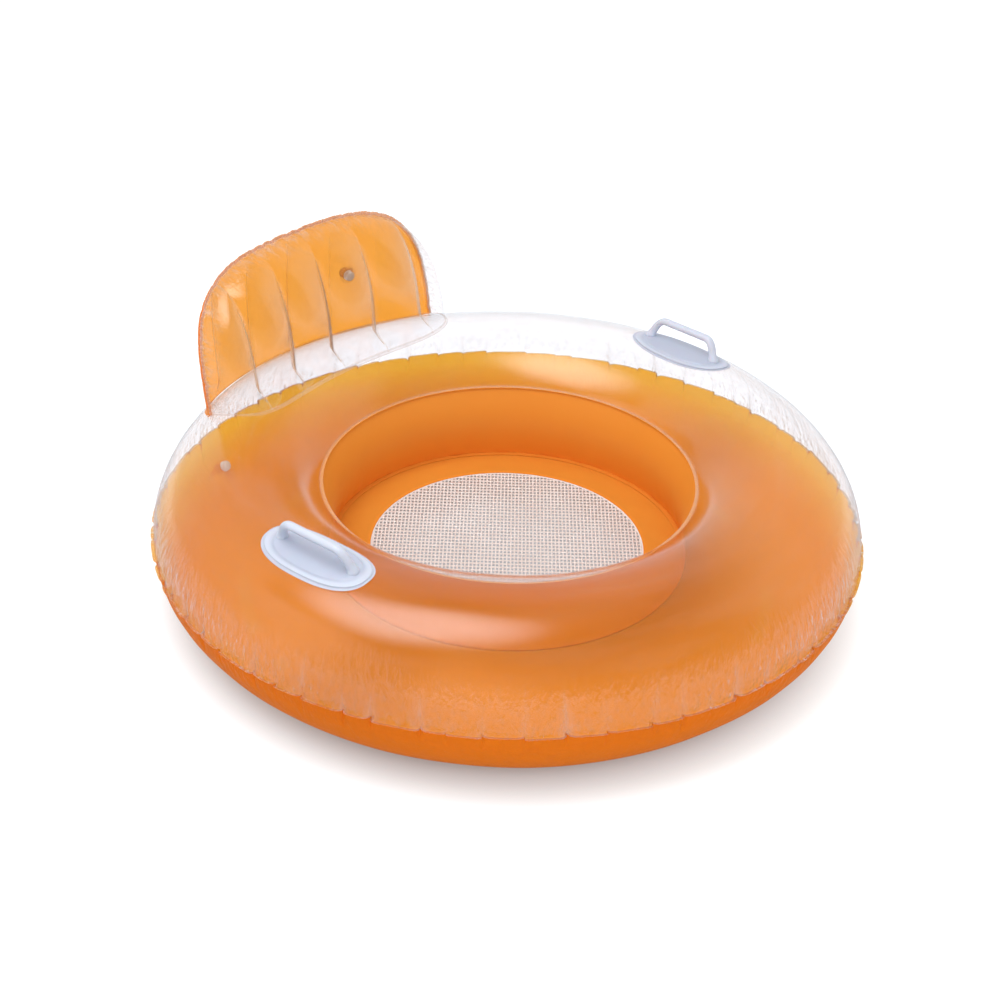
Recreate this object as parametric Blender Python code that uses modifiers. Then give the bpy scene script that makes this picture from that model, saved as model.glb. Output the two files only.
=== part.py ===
# Inflatable pool lounge chair: a round ring of clear and orange film with a net seat,
# a ribbed pillow backrest, two moulded grab handles and two air valves.
# Metres, +Z up. The origin is the ring's centre on the floor, the backrest is at +Y.

import math

import bmesh
import bpy
from mathutils import Matrix, Vector

# Film and fits
FILM = 0.0005            # wall of the vinyl film
GAP = 0.0003             # clearance between pieces that lie on each other
SEAT_GAP = 0.0011        # clearance of what lies on the ring's faceted top sheet
OVERRUN = 0.004          # how far a cutter runs past what it cuts
SCREW_MERGE = 0.0001     # points closer than this are one point, on a turned piece's axis and seam
WELD = 0.00001           # the same on a tube

# Ring
RING_RADIUS = 0.402      # circle under the crest of the tube
OUTER_HALF_WIDTH = 0.131  # crest circle to the outer seam
INNER_HALF_WIDTH = 0.137  # crest circle to the inmost point of the wall
CREST_RISE = 0.131       # outer seam to the crest
BELLY_DROP = 0.1155      # outer seam to the floor
REST_HALF_WIDTH = 0.018  # half of the flat that the ring stands on
RIM_SEAM_INSET = 0.0186  # inmost point of the wall to the seam between it and the top sheet
FLOOR_SEAM_INSET = 0.010  # the same to the seam of the wall, the seat floor and the bottom sheet
FLOOR_SEAM_DROP = 0.056  # outer seam's height to the seat floor
SEAM_FLANGE = 0.004      # welded edge that stands out of the outer seam and the rim seam
FLOOR_FLANGE = 0.008     # welded edge that holds the seat floor
RING_STEPS = 56
TOP_SEGMENTS = 11
BELLY_SEGMENTS = 4       # on each side of the flat
WALL_SEGMENTS = 3

# Seat
FLOOR_WIDTH = 0.0645     # orange seat floor, from its seam to its inner edge
NET_HEM = 0.008          # solid edge of the net, mostly under the seat floor
HEM_SHOW = 0.002         # part of the hem that shows inside the seat floor
NET_THICKNESS = 0.0012
NET_PITCH = 0.034
NET_STRAND = 0.0045
EDGE_GAP_SHARE = 0.4     # part of half a gap that has to lie inside the hem

# Backrest pillow
SEAM_SETBACK = 0.047     # crest circle to the pillow's outline seam, on the centre line
SEAM_FOOT_RISE = 0.121   # outer seam's height to the foot of the outline seam
PILLOW_HALF_WIDTH = 0.243
PILLOW_HEIGHT = 0.202
PILLOW_LEAN = math.radians(1.7)
OUTLINE_POWER = 3.67     # how square the outline's upper corners are
FOOT_SAG = 0.059         # how far the outline's ends come forward at the foot
TOP_SAG = 0.031          # the same at the top
FRONT_DEPTH = 0.101      # outline seam to the front of the pillow at its foot
BACK_DEPTH = 0.038       # outline seam to the back of the pillow at its foot
SIDE_POWER = 6.0         # fullness towards the ends
CROWN_POWER = 2.6        # fullness towards the top
PILLOW_FLANGE = 0.005
SEAM_GAP = 0.0008        # between the pillow's two films at their outline seam
RIB_COUNT = 5
RIB_PITCH = 0.090
RIB_FIRST_ROW = 1        # rows of the pillow's cage that a rib runs between
RIB_LAST_ROW = 6
RIB_GAP = 0.0006         # from a rib's edge to the film it is welded to
FRONT_PINCH = 0.009      # depth of the channel over a rib, in front
BACK_PINCH = 0.006       # the same behind
PINCH_WIDTH = 0.014
PINCH_FADE = 0.022       # height over which the channels start at the foot
PILLOW_ROWS = 9
CELLS_PER_CHANNEL = 6
CELLS_PER_END = 7

# Grab handles
HANDLE_SETBACK = 0.011   # crest circle to the handle's centre
HANDLE_TURN = math.radians(92)  # round the ring from the middle of the backrest
HANDLE_LENGTH = 0.176
HANDLE_WIDTH = 0.080
OVAL_POWER = 2.4
HANDLE_BORDER = 0.007    # thin welded edge round the handle's base
BORDER_THICKNESS = 0.0012
BASE_THICKNESS = 0.0028
PATCH_MARGIN = 0.004     # film patch beyond the handle's base
LOOP_FEET = 0.128        # distance between the loop's feet
LOOP_BAR = 0.080         # straight run of the loop's bar
LOOP_HEIGHT = 0.029      # base to the middle of the bar
LOOP_LEAN = 0.008        # how far the bar stands outside its feet
LOOP_THICKNESS = 0.0125
LEG_SHARE = 0.40         # part of a leg below its bend
FOOT_SINK = 0.0012       # how far the legs reach into the base
BEND_POINTS = 5
OVAL_CELLS_LONG = 14
OVAL_CELLS_WIDE = 8

# Air valves
VALVE_STEPS = 16
FLANGE_RADIUS = 0.015
FLANGE_THICKNESS = 0.0012
SLEEVE_WALL = 0.0010
SLEEVE_DEPTH = 0.007
STEM_RADIUS = 0.0070
STEM_BORE = 0.0042
STEM_OUT = 0.0135        # sheet to the outer end of the stem
STEM_IN = 0.0090         # sheet to the inner end of the stem
LIP_RADIUS = 0.0090
LIP_THICKNESS = 0.0015
PLUG_RADIUS = 0.0080
PLUG_THICKNESS = 0.0022
SHANK_LENGTH = 0.0083
FLAP_RADIUS = 0.0058
FLAP_THICKNESS = 0.0006
STRAP_WIDTH = 0.005
STRAP_THICKNESS = 0.0010
STRAP_RUN = 0.0055       # straight out from the stem's lip
STRAP_BEND = 0.0032      # radius of the strap's turn back to the plug
STRAP_TURN_POINTS = 6
RING_VALVE_STEP = 16     # ring step, counted from +X, that the ring's valve sits on
RING_VALVE_SEGMENT = 1   # segment of the bottom sheet below the outer seam
PILLOW_VALVE_SIDE = 0.135  # pillow's centre line to its valve
PILLOW_VALVE_RISE = 0.085  # pillow's foot to its valve

SEAM_HEIGHT = BELLY_DROP
INMOST_RADIUS = RING_RADIUS - INNER_HALF_WIDTH
RIM_SEAM_RADIUS = INMOST_RADIUS + RIM_SEAM_INSET
FLOOR_SEAM_RADIUS = INMOST_RADIUS + FLOOR_SEAM_INSET
NET_RADIUS = FLOOR_SEAM_RADIUS - FLOOR_WIDTH
FLOOR_HEIGHT = SEAM_HEIGHT - FLOOR_SEAM_DROP
STEP_ANGLE = 2 * math.pi / RING_STEPS

CLEAR = ("clear_film", (0.93, 0.92, 0.94, 0.35), 0.12)
ORANGE = ("orange_film", (0.90, 0.36, 0.06, 0.85), 0.18)
NET_WHITE = ("white_net", (0.90, 0.87, 0.86, 1.0), 0.55)
PALE_BLUE = ("pale_blue_vinyl", (0.62, 0.70, 0.90, 1.0), 0.38)
MILKY = ("milky_vinyl", (0.86, 0.86, 0.88, 1.0), 0.35)


def clear_scene():
    for obj in list(bpy.data.objects):
        bpy.data.objects.remove(obj, do_unlink=True)


def new_collection(name):
    collection = bpy.data.collections.new(name)
    bpy.context.scene.collection.children.link(collection)
    return collection


def new_material(obj, look):
    name, colour, roughness = look
    material = bpy.data.materials.new(obj.name + "_" + name)
    material.use_nodes = True
    shader = material.node_tree.nodes["Principled BSDF"]
    shader.inputs["Base Color"].default_value = colour[:3] + (1.0,)
    shader.inputs["Alpha"].default_value = colour[3]
    shader.inputs["Roughness"].default_value = roughness
    shader.inputs["Metallic"].default_value = 0.0
    material.diffuse_color = colour
    obj.data.materials.append(material)


def new_object(name, mesh, collection, look=None):
    obj = bpy.data.objects.new(name, mesh)
    collection.objects.link(obj)
    if look:
        new_material(obj, look)
    return obj


def new_cutter(name, mesh):
    cutter = new_object(name, mesh, cutters)
    cutter.hide_render = True
    cutter.display_type = "WIRE"
    return cutter


def add_solidify(obj, thickness, offset=-1.0):
    solidify = obj.modifiers.new("film", "SOLIDIFY")
    solidify.thickness = thickness
    solidify.offset = offset
    solidify.use_even_offset = True


def add_boolean(obj, other, operation):
    boolean = obj.modifiers.new(operation.lower(), "BOOLEAN")
    boolean.operation = operation
    boolean.solver = "EXACT"
    boolean.object = other


def turned_mesh(name, profile, closed=False):
    """Edges of a profile in the XZ plane, ready for a Screw modifier."""
    mesh = bpy.data.meshes.new(name)
    edges = [(i, i + 1) for i in range(len(profile) - 1)]
    if closed:
        edges.append((len(profile) - 1, 0))
    mesh.from_pydata([(r, 0.0, z) for r, z in profile], edges, [])
    return mesh


def add_screw(obj, steps):
    screw = obj.modifiers.new("turn", "SCREW")
    screw.axis = "Z"
    screw.angle = 2 * math.pi
    screw.steps = steps
    screw.render_steps = steps
    screw.use_merge_vertices = True
    screw.merge_threshold = SCREW_MERGE
    screw.use_smooth_shade = True


def add_turned(name, profile, look, steps, closed=False):
    obj = new_object(name, turned_mesh(name, profile, closed), parts, look)
    add_screw(obj, steps)
    return obj


# Ring sections: each profile is a list of (radius, height) points on a sheet's outer side

def tube_point(angle):
    """Point of the tube's outer side, with the angle counted from the outer seam upwards."""
    across = math.cos(angle)
    up = math.sin(angle)
    half_width = OUTER_HALF_WIDTH if across > 0 else INNER_HALF_WIDTH
    rise = CREST_RISE if up > 0 else BELLY_DROP
    return RING_RADIUS + half_width * across, SEAM_HEIGHT + rise * up


def angle_at_radius(radius):
    return math.acos((radius - RING_RADIUS) / INNER_HALF_WIDTH)


def rim_seam_height():
    return tube_point(angle_at_radius(RIM_SEAM_RADIUS))[1]


def top_profile():
    lift = FILM + GAP / 2
    start = angle_at_radius(RIM_SEAM_RADIUS)
    end = math.asin(lift / CREST_RISE)
    inner = (RIM_SEAM_RADIUS - SEAM_FLANGE, rim_seam_height() + lift)
    points = [inner, (RIM_SEAM_RADIUS, rim_seam_height() + lift)]
    for i in range(1, TOP_SEGMENTS + 1):
        points.append(tube_point(start + (end - start) * i / TOP_SEGMENTS))
    points.append((points[-1][0] + SEAM_FLANGE, points[-1][1]))
    return points


def belly_profile():
    lift = FILM + GAP / 2
    start = -math.asin(lift / BELLY_DROP)
    first = tube_point(start)
    points = [(first[0] + SEAM_FLANGE, first[1])]
    rest_outer = -math.acos(REST_HALF_WIDTH / OUTER_HALF_WIDTH)
    rest_inner = -math.acos(-REST_HALF_WIDTH / INNER_HALF_WIDTH)
    for i in range(BELLY_SEGMENTS):
        points.append(tube_point(start + (rest_outer - start) * i / BELLY_SEGMENTS))
    points.append((RING_RADIUS + REST_HALF_WIDTH, 0.0))
    points.append((RING_RADIUS - REST_HALF_WIDTH, 0.0))
    end = -angle_at_radius(FLOOR_SEAM_RADIUS)
    for i in range(1, BELLY_SEGMENTS):
        points.append(tube_point(rest_inner + (end - rest_inner) * i / BELLY_SEGMENTS))
    under = FLOOR_HEIGHT - FILM * 1.5 - GAP
    points.append((FLOOR_SEAM_RADIUS, under))
    points.append((FLOOR_SEAM_RADIUS - FLOOR_FLANGE, under))
    return points


def wall_profile():
    over = FLOOR_HEIGHT + FILM * 1.5 + GAP
    under_rim = rim_seam_height() - FILM - GAP / 2
    points = [(FLOOR_SEAM_RADIUS - FLOOR_FLANGE, over), (FLOOR_SEAM_RADIUS, over)]
    for i in range(1, WALL_SEGMENTS):
        share = i / WALL_SEGMENTS
        chord = FLOOR_SEAM_RADIUS + (RIM_SEAM_RADIUS - FLOOR_SEAM_RADIUS) * share
        bow = (chord - INMOST_RADIUS) * math.sin(math.pi * share)
        points.append((chord - bow, over + (under_rim - over) * share))
    points.append((RIM_SEAM_RADIUS, under_rim))
    points.append((RIM_SEAM_RADIUS - SEAM_FLANGE, under_rim))
    return points


def ring_top_height(x, y):
    """Height of the ring's true outer side over (x, y), which the top sheet's facets lie within."""
    offset = math.hypot(x, y) - RING_RADIUS
    half_width = OUTER_HALF_WIDTH if offset > 0 else INNER_HALF_WIDTH
    return SEAM_HEIGHT + CREST_RISE * math.sqrt(max(0.0, 1 - (offset / half_width) ** 2))


def build_ring():
    top = add_turned("ring_top_sheet", top_profile(), CLEAR, RING_STEPS)
    add_solidify(top, FILM)
    belly = add_turned("ring_bottom_sheet", belly_profile(), ORANGE, RING_STEPS)
    add_solidify(belly, FILM)
    wall = add_turned("ring_inner_wall", wall_profile(), ORANGE, RING_STEPS)
    add_solidify(wall, FILM)
    high = FLOOR_HEIGHT + FILM / 2
    low = FLOOR_HEIGHT - FILM / 2
    outer = FLOOR_SEAM_RADIUS - GAP
    floor = [(NET_RADIUS, high), (outer, high), (outer, low), (NET_RADIUS, low)]
    add_turned("seat_floor_ring", floor, ORANGE, RING_STEPS, closed=True)
    return belly


def build_net():
    """Flat net disc: square gaps cut through a plate, the outer ones trimmed by the hem."""
    high = FLOOR_HEIGHT - FILM / 2 - GAP
    low = high - NET_THICKNESS
    inside = NET_RADIUS - HEM_SHOW
    outside = inside + NET_HEM
    disc = [(0.0, high), (outside, high), (outside, low), (0.0, low)]
    plate = add_turned("seat_net", disc, NET_WHITE, RING_STEPS)
    half_gap = (NET_PITCH - NET_STRAND) / 2
    reach = int(inside / NET_PITCH) + 1
    made = bmesh.new()
    for i in range(-reach, reach + 1):
        for j in range(-reach, reach + 1):
            x = i * NET_PITCH
            y = j * NET_PITCH
            if math.hypot(x, y) > inside - half_gap * EDGE_GAP_SHARE:
                continue
            place = Matrix.Translation((x, y, (high + low) / 2))
            size = Matrix.Diagonal((half_gap * 2, half_gap * 2, NET_THICKNESS + OVERRUN, 1.0))
            bmesh.ops.create_cube(made, size=1.0, matrix=place @ size)
    mesh = bpy.data.meshes.new("net_gaps")
    made.to_mesh(mesh)
    made.free()
    gaps = new_cutter("net_gaps", mesh)
    trim_points = [
        (0.0, high + OVERRUN), (inside, high + OVERRUN), (inside, low - OVERRUN), (0.0, low - OVERRUN),
    ]
    trim = new_cutter("net_trim", turned_mesh("net_trim", trim_points))
    add_screw(trim, RING_STEPS)
    add_boolean(gaps, trim, "INTERSECT")
    add_boolean(plate, gaps, "DIFFERENCE")


# Backrest pillow: s runs across it, t up it, both from the foot of its centre line

def rib_places():
    first = -(RIB_COUNT - 1) / 2
    return [(first + i) * RIB_PITCH for i in range(RIB_COUNT)]


def seam_place(s, t):
    """Depth of the outline seam's surface behind the ring's centre."""
    rise_share = t / PILLOW_HEIGHT
    sag = FOOT_SAG + (TOP_SAG - FOOT_SAG) * rise_share
    depth = RING_RADIUS + SEAM_SETBACK + t * math.sin(PILLOW_LEAN)
    return depth - sag * (s / PILLOW_HALF_WIDTH) ** 2


def fullness(s, t):
    """1 in the middle of the pillow's foot, 0 on its outline."""
    across = abs(s) / PILLOW_HALF_WIDTH
    up = max(t, 0.0) / PILLOW_HEIGHT
    if across + up == 0:
        return 1.0
    reach = (across ** OUTLINE_POWER + up ** OUTLINE_POWER) ** (1 / OUTLINE_POWER)
    up_share = up * up / (across * across + up * up)
    power = SIDE_POWER + (CROWN_POWER - SIDE_POWER) * up_share
    return math.sqrt(max(0.0, 1 - reach ** power))


def pinch(s, t):
    """How far the film is drawn in over the ribs, from 0 to 1, fading in from the foot."""
    along = min(max(t / PINCH_FADE, 0.0), 1.0)
    return along * sum(math.exp(-((s - place) / PINCH_WIDTH) ** 2) for place in rib_places())


def pillow_point(s, t, side, inset=0.0):
    """Point on the front (side -1) or back (side 1) of the pillow, inset into its film."""
    depth = FRONT_DEPTH if side < 0 else BACK_DEPTH
    channel = FRONT_PINCH if side < 0 else BACK_PINCH
    full = fullness(s, t)
    bulge = full * (depth - channel * pinch(s, t)) + FILM + SEAM_GAP / 2 - inset
    foot_y = seam_place(s, 0.0) + side * fullness(s, 0.0) * depth
    foot_z = ring_top_height(s, foot_y) + SEAT_GAP + FILM
    level = SEAM_HEIGHT + SEAM_FOOT_RISE
    settle = max(0.0, 1 - t / PILLOW_HEIGHT) ** 2
    y = seam_place(s, t) + side * bulge
    z = level + t * math.cos(PILLOW_LEAN) + (foot_z - level) * settle
    return Vector((s, y, z))


def column_places():
    """Places of the pillow's columns across its foot: one on each rib, and closer at the ends."""
    ribs = rib_places()
    end_width = PILLOW_HALF_WIDTH - ribs[-1]
    ends = [end_width * math.sin(math.pi / 2 * i / CELLS_PER_END) for i in range(CELLS_PER_END + 1)]
    places = [ribs[0] - reach for reach in reversed(ends[1:])]
    for left in ribs[:-1]:
        places += [left + RIB_PITCH * i / CELLS_PER_CHANNEL for i in range(CELLS_PER_CHANNEL)]
    return places + [ribs[-1] + reach for reach in ends]


def round_corners(across, up):
    """Moves a point of the square cage (shares of half width and height) into the outline."""
    largest = max(abs(across), up)
    if largest == 0:
        return 0.0, 0.0
    reach = (abs(across) ** OUTLINE_POWER + up ** OUTLINE_POWER) ** (1 / OUTLINE_POWER)
    return across * largest / reach, up * largest / reach


def cage_place(place, row):
    """Place across and up the pillow of one point of its cage."""
    up_share = math.sin(math.pi / 2 * row / PILLOW_ROWS)
    s_share, t_share = round_corners(place / PILLOW_HALF_WIDTH, up_share)
    return s_share * PILLOW_HALF_WIDTH, t_share * PILLOW_HEIGHT


def pillow_sheet(name, side, look):
    """Grid bent into one side of the pillow, with a welded edge all round it."""
    places = column_places()
    columns = len(places) + 2
    rows = PILLOW_ROWS + 3
    made = bmesh.new()
    bmesh.ops.create_grid(made, x_segments=columns - 1, y_segments=rows - 1, size=1.0)
    made.verts.ensure_lookup_table()
    for vert in made.verts:
        column = round((vert.co.x + 1) / 2 * (columns - 1))
        row = round((vert.co.y + 1) / 2 * (rows - 1))
        place = places[min(max(column - 1, 0), len(places) - 1)]
        s, t = cage_place(place, min(max(row - 1, 0), PILLOW_ROWS))
        if column == 0 or column == columns - 1 or row == rows - 1:
            outward = Vector((s / PILLOW_HALF_WIDTH ** 2, t / PILLOW_HEIGHT ** 2)).normalized()
            s += outward.x * PILLOW_FLANGE
            t += outward.y * PILLOW_FLANGE
        point = pillow_point(s, t, side)
        if row == 0:
            point.y += side * PILLOW_FLANGE
            point.z = ring_top_height(point.x, point.y) + SEAT_GAP + FILM
        vert.co = point
    if side > 0:
        bmesh.ops.reverse_faces(made, faces=made.faces)
    mesh = bpy.data.meshes.new(name)
    made.to_mesh(mesh)
    made.free()
    mesh.shade_smooth()
    sheet = new_object(name, mesh, parts, look)
    add_solidify(sheet, FILM)
    return sheet


def build_rib(name, place):
    """Film web between the two sides of the pillow, along one column of its cage."""
    rows = RIB_LAST_ROW - RIB_FIRST_ROW
    made = bmesh.new()
    bmesh.ops.create_grid(made, x_segments=1, y_segments=rows, size=1.0)
    for vert in made.verts:
        row = RIB_FIRST_ROW + round((vert.co.y + 1) / 2 * rows)
        s, t = cage_place(place, row)
        side = -1 if vert.co.x < 0 else 1
        vert.co = pillow_point(s, t, side, FILM + RIB_GAP)
    mesh = bpy.data.meshes.new(name)
    made.to_mesh(mesh)
    made.free()
    rib = new_object(name, mesh, parts, CLEAR)
    add_solidify(rib, FILM, 0.0)


def build_backrest():
    pillow_sheet("backrest_front_sheet", -1, CLEAR)
    back = pillow_sheet("backrest_back_sheet", 1, ORANGE)
    for i, s in enumerate(rib_places()):
        build_rib("backrest_rib_%d" % (i + 1), s)
    return back


# Grab handles: a runs along the handle, b across it, away from the ring's centre

def handle_frame(side):
    """Centre and the two plan directions of the handle on the given side (1 is +X)."""
    out = Vector((side * math.sin(HANDLE_TURN), math.cos(HANDLE_TURN), 0.0))
    along = Vector((-out.y, out.x, 0.0))
    return out * (RING_RADIUS + HANDLE_SETBACK), along, out


def oval_grid(long_cells, wide_cells, half_long, half_wide):
    """Flat grid whose edge is the handle's oval."""
    made = bmesh.new()
    bmesh.ops.create_grid(made, x_segments=long_cells, y_segments=wide_cells, size=1.0)
    for vert in made.verts:
        across, up = vert.co.x, vert.co.y
        largest = max(abs(across), abs(up))
        if largest > 0:
            reach = (abs(across) ** OVAL_POWER + abs(up) ** OVAL_POWER) ** (1 / OVAL_POWER)
            across *= largest / reach
            up *= largest / reach
        vert.co = (across * half_long, up * half_wide, largest)
    return made


def build_oval(name, side, look, margin, lift, thickness_at):
    """Oval plate that lies on the ring, with its own thickness at each share of its size."""
    centre, along, out = handle_frame(side)
    half_long = HANDLE_LENGTH / 2 + margin
    half_wide = HANDLE_WIDTH / 2 + margin
    made = oval_grid(OVAL_CELLS_LONG, OVAL_CELLS_WIDE, half_long, half_wide)
    lower = list(made.verts)
    shares = {}
    for vert in lower:
        shares[vert] = vert.co.z
        place = centre + along * vert.co.x + out * vert.co.y
        place.z = ring_top_height(place.x, place.y) + lift
        vert.co = place
    grown = bmesh.ops.extrude_face_region(made, geom=list(made.faces) + list(made.edges) + lower)
    upper = [item for item in grown["geom"] if isinstance(item, bmesh.types.BMVert)]
    place_of = {tuple(vert.co): shares[vert] for vert in lower}
    for vert in upper:
        vert.co.z += thickness_at(place_of[tuple(vert.co)])
    bmesh.ops.recalc_face_normals(made, faces=made.faces)
    mesh = bpy.data.meshes.new(name)
    made.to_mesh(mesh)
    made.free()
    return new_object(name, mesh, parts, look)


def base_thickness(share):
    """Thin border, then the thicker middle of the handle's base."""
    border_share = 1 - HANDLE_BORDER * 2 / HANDLE_WIDTH
    return BASE_THICKNESS if share < border_share else BORDER_THICKNESS


def loop_points(side, lift):
    """Centre line of the grip: two legs that lean in and a bar, joined by round bends."""
    centre, along, out = handle_frame(side)
    base_top = ring_top_height(centre.x, centre.y) + lift + BASE_THICKNESS
    foot_place = centre + along * (LOOP_FEET / 2)
    foot_top = ring_top_height(foot_place.x, foot_place.y) + lift + BASE_THICKNESS
    foot = (LOOP_FEET / 2, foot_top - FOOT_SINK)
    ankle = (LOOP_FEET / 2, foot_top + FOOT_SINK)
    corner = (LOOP_BAR / 2 + (LOOP_FEET - LOOP_BAR) / 4, base_top + LOOP_HEIGHT)
    bend_end = (LOOP_BAR / 2, corner[1])
    start = tuple(ankle[k] + (corner[k] - ankle[k]) * LEG_SHARE for k in range(2))
    half = [foot, ankle]
    for i in range(BEND_POINTS + 1):
        share = i / BEND_POINTS
        weights = ((1 - share) ** 2, 2 * share * (1 - share), share ** 2)
        bend = [weights[0] * start[k] + weights[1] * corner[k] + weights[2] * bend_end[k] for k in range(2)]
        half.append(tuple(bend))
    path = half + [(-a, z) for a, z in reversed(half)]
    points = []
    for a, z in path:
        lean = LOOP_LEAN * max(0.0, z - ankle[1]) / (corner[1] - ankle[1])
        points.append(centre + along * a + out * lean + Vector((0.0, 0.0, z)))
    return points


def tube_mesh(name, points, thickness):
    """Mesh of a round tube along the points, with welded caps."""
    curve = bpy.data.curves.new(name, "CURVE")
    curve.dimensions = "3D"
    curve.bevel_depth = thickness / 2
    curve.bevel_resolution = 2
    curve.use_fill_caps = True
    spline = curve.splines.new("POLY")
    spline.points.add(len(points) - 1)
    for point, place in zip(spline.points, points):
        point.co = (place.x, place.y, place.z, 1.0)
    guide = bpy.data.objects.new(name, curve)
    cutters.objects.link(guide)
    bpy.context.view_layer.update()
    mesh = bpy.data.meshes.new_from_object(guide.evaluated_get(bpy.context.evaluated_depsgraph_get()))
    bpy.data.objects.remove(guide, do_unlink=True)
    made = bmesh.new()
    made.from_mesh(mesh)
    bmesh.ops.remove_doubles(made, verts=made.verts, dist=WELD)
    bmesh.ops.recalc_face_normals(made, faces=made.faces)
    made.to_mesh(mesh)
    made.free()
    return mesh


def build_handle(side):
    name = "left" if side > 0 else "right"
    build_oval(name + "_handle_patch", side, CLEAR, PATCH_MARGIN, SEAT_GAP, lambda share: FILM)
    lift = SEAT_GAP + FILM + GAP
    handle = build_oval(name + "_handle", side, PALE_BLUE, 0.0, lift, base_thickness)
    grip = new_cutter(name + "_grip", tube_mesh(name + "_grip", loop_points(side, lift), LOOP_THICKNESS))
    add_boolean(handle, grip, "UNION")


# Air valves: turned about their own axis, with the sheet's outer side at height 0

def build_valve(name, place, outward, sideways, sheet):
    """Base, stem, plug, flap and strap of one valve, and its hole in the sheet."""
    upright = outward.cross(sideways)
    turn = Matrix((sideways, upright, outward)).transposed().to_4x4()
    frame = Matrix.Translation(place) @ turn
    flange_top = GAP + FLANGE_THICKNESS
    sleeve_in = STEM_RADIUS + GAP
    sleeve_out = sleeve_in + SLEEVE_WALL
    base = [
        (FLANGE_RADIUS, flange_top), (FLANGE_RADIUS, GAP), (sleeve_out, GAP),
        (sleeve_out, -SLEEVE_DEPTH), (sleeve_in, -SLEEVE_DEPTH), (sleeve_in, flange_top),
    ]
    stem = [
        (LIP_RADIUS, STEM_OUT), (LIP_RADIUS, STEM_OUT - LIP_THICKNESS),
        (STEM_RADIUS, STEM_OUT - LIP_THICKNESS), (STEM_RADIUS, -STEM_IN),
        (STEM_BORE, -STEM_IN), (STEM_BORE, STEM_OUT),
    ]
    shank = STEM_BORE - GAP
    seat = STEM_OUT + GAP
    plug = [
        (0.0, seat + PLUG_THICKNESS), (PLUG_RADIUS, seat + PLUG_THICKNESS), (PLUG_RADIUS, seat),
        (shank, seat), (shank, seat - SHANK_LENGTH), (0.0, seat - SHANK_LENGTH),
    ]
    flap_top = -STEM_IN - GAP
    flap = [
        (0.0, flap_top), (FLAP_RADIUS, flap_top),
        (FLAP_RADIUS, flap_top - FLAP_THICKNESS), (0.0, flap_top - FLAP_THICKNESS),
    ]
    pieces = [
        add_turned(name + "_base", base, MILKY, VALVE_STEPS, closed=True),
        add_turned(name + "_stem", stem, MILKY, VALVE_STEPS, closed=True),
        add_turned(name + "_plug", plug, MILKY, VALVE_STEPS),
        add_turned(name + "_flap", flap, MILKY, VALVE_STEPS),
        build_strap(name + "_strap", seat + PLUG_THICKNESS / 2),
    ]
    hole_radius = sleeve_out + GAP
    hole_points = [
        (0.0, OVERRUN), (hole_radius, OVERRUN), (hole_radius, -OVERRUN), (0.0, -OVERRUN),
    ]
    hole = new_cutter(name + "_hole", turned_mesh(name + "_hole", hole_points))
    add_screw(hole, VALVE_STEPS)
    for piece in pieces + [hole]:
        piece.matrix_world = frame
    add_boolean(sheet, hole, "DIFFERENCE")


def strap_path(plug_height):
    """Centre line of the strap, from the stem's lip out, round and back to the plug's edge."""
    root_height = STEM_OUT - LIP_THICKNESS / 2
    turn = Vector((LIP_RADIUS + GAP + STRAP_RUN, root_height + STRAP_BEND))
    points = [Vector((LIP_RADIUS + GAP, root_height))]
    for i in range(STRAP_TURN_POINTS + 1):
        angle = math.pi * (i / STRAP_TURN_POINTS - 0.5)
        points.append(turn + Vector((math.cos(angle), math.sin(angle))) * STRAP_BEND)
    over = points[-1]
    plug_edge = Vector((PLUG_RADIUS + GAP, plug_height))
    corner = Vector(((over.x + plug_edge.x) / 2, over.y))
    for i in range(1, BEND_POINTS):
        share = i / (BEND_POINTS - 1)
        points.append(over.lerp(corner, share).lerp(corner.lerp(plug_edge, share), share))
    return points


def build_strap(name, plug_height):
    """Flat soft strap that holds the plug to the stem."""
    path = strap_path(plug_height)
    cells = len(path) - 1
    made = bmesh.new()
    bmesh.ops.create_grid(made, x_segments=cells, y_segments=1, size=1.0)
    for vert in made.verts:
        point = path[round((vert.co.x + 1) / 2 * cells)]
        vert.co = (point.x, vert.co.y * STRAP_WIDTH / 2, point.y)
    mesh = bpy.data.meshes.new(name)
    made.to_mesh(mesh)
    made.free()
    strap = new_object(name, mesh, parts, MILKY)
    add_solidify(strap, STRAP_THICKNESS, 0.0)
    return strap


def build_ring_valve(belly):
    """The ring's valve sits in the middle of one flat facet of the bottom sheet."""
    points = belly_profile()
    upper = points[1 + RING_VALVE_SEGMENT]
    lower = points[2 + RING_VALVE_SEGMENT]
    angle = (RING_VALVE_STEP + 0.5) * STEP_ANGLE
    around = Vector((math.cos(angle), math.sin(angle), 0.0))
    radius = (upper[0] + lower[0]) / 2 * math.cos(STEP_ANGLE / 2)
    place = around * radius + Vector((0.0, 0.0, (upper[1] + lower[1]) / 2))
    slope = Vector((upper[0] - lower[0], upper[1] - lower[1]))
    slope.x *= math.cos(STEP_ANGLE / 2)
    slope.normalize()
    outward = around * slope.y - Vector((0.0, 0.0, slope.x))
    sideways = Vector((-around.y, around.x, 0.0))
    build_valve("ring_valve", place, outward, sideways, belly)


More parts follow.
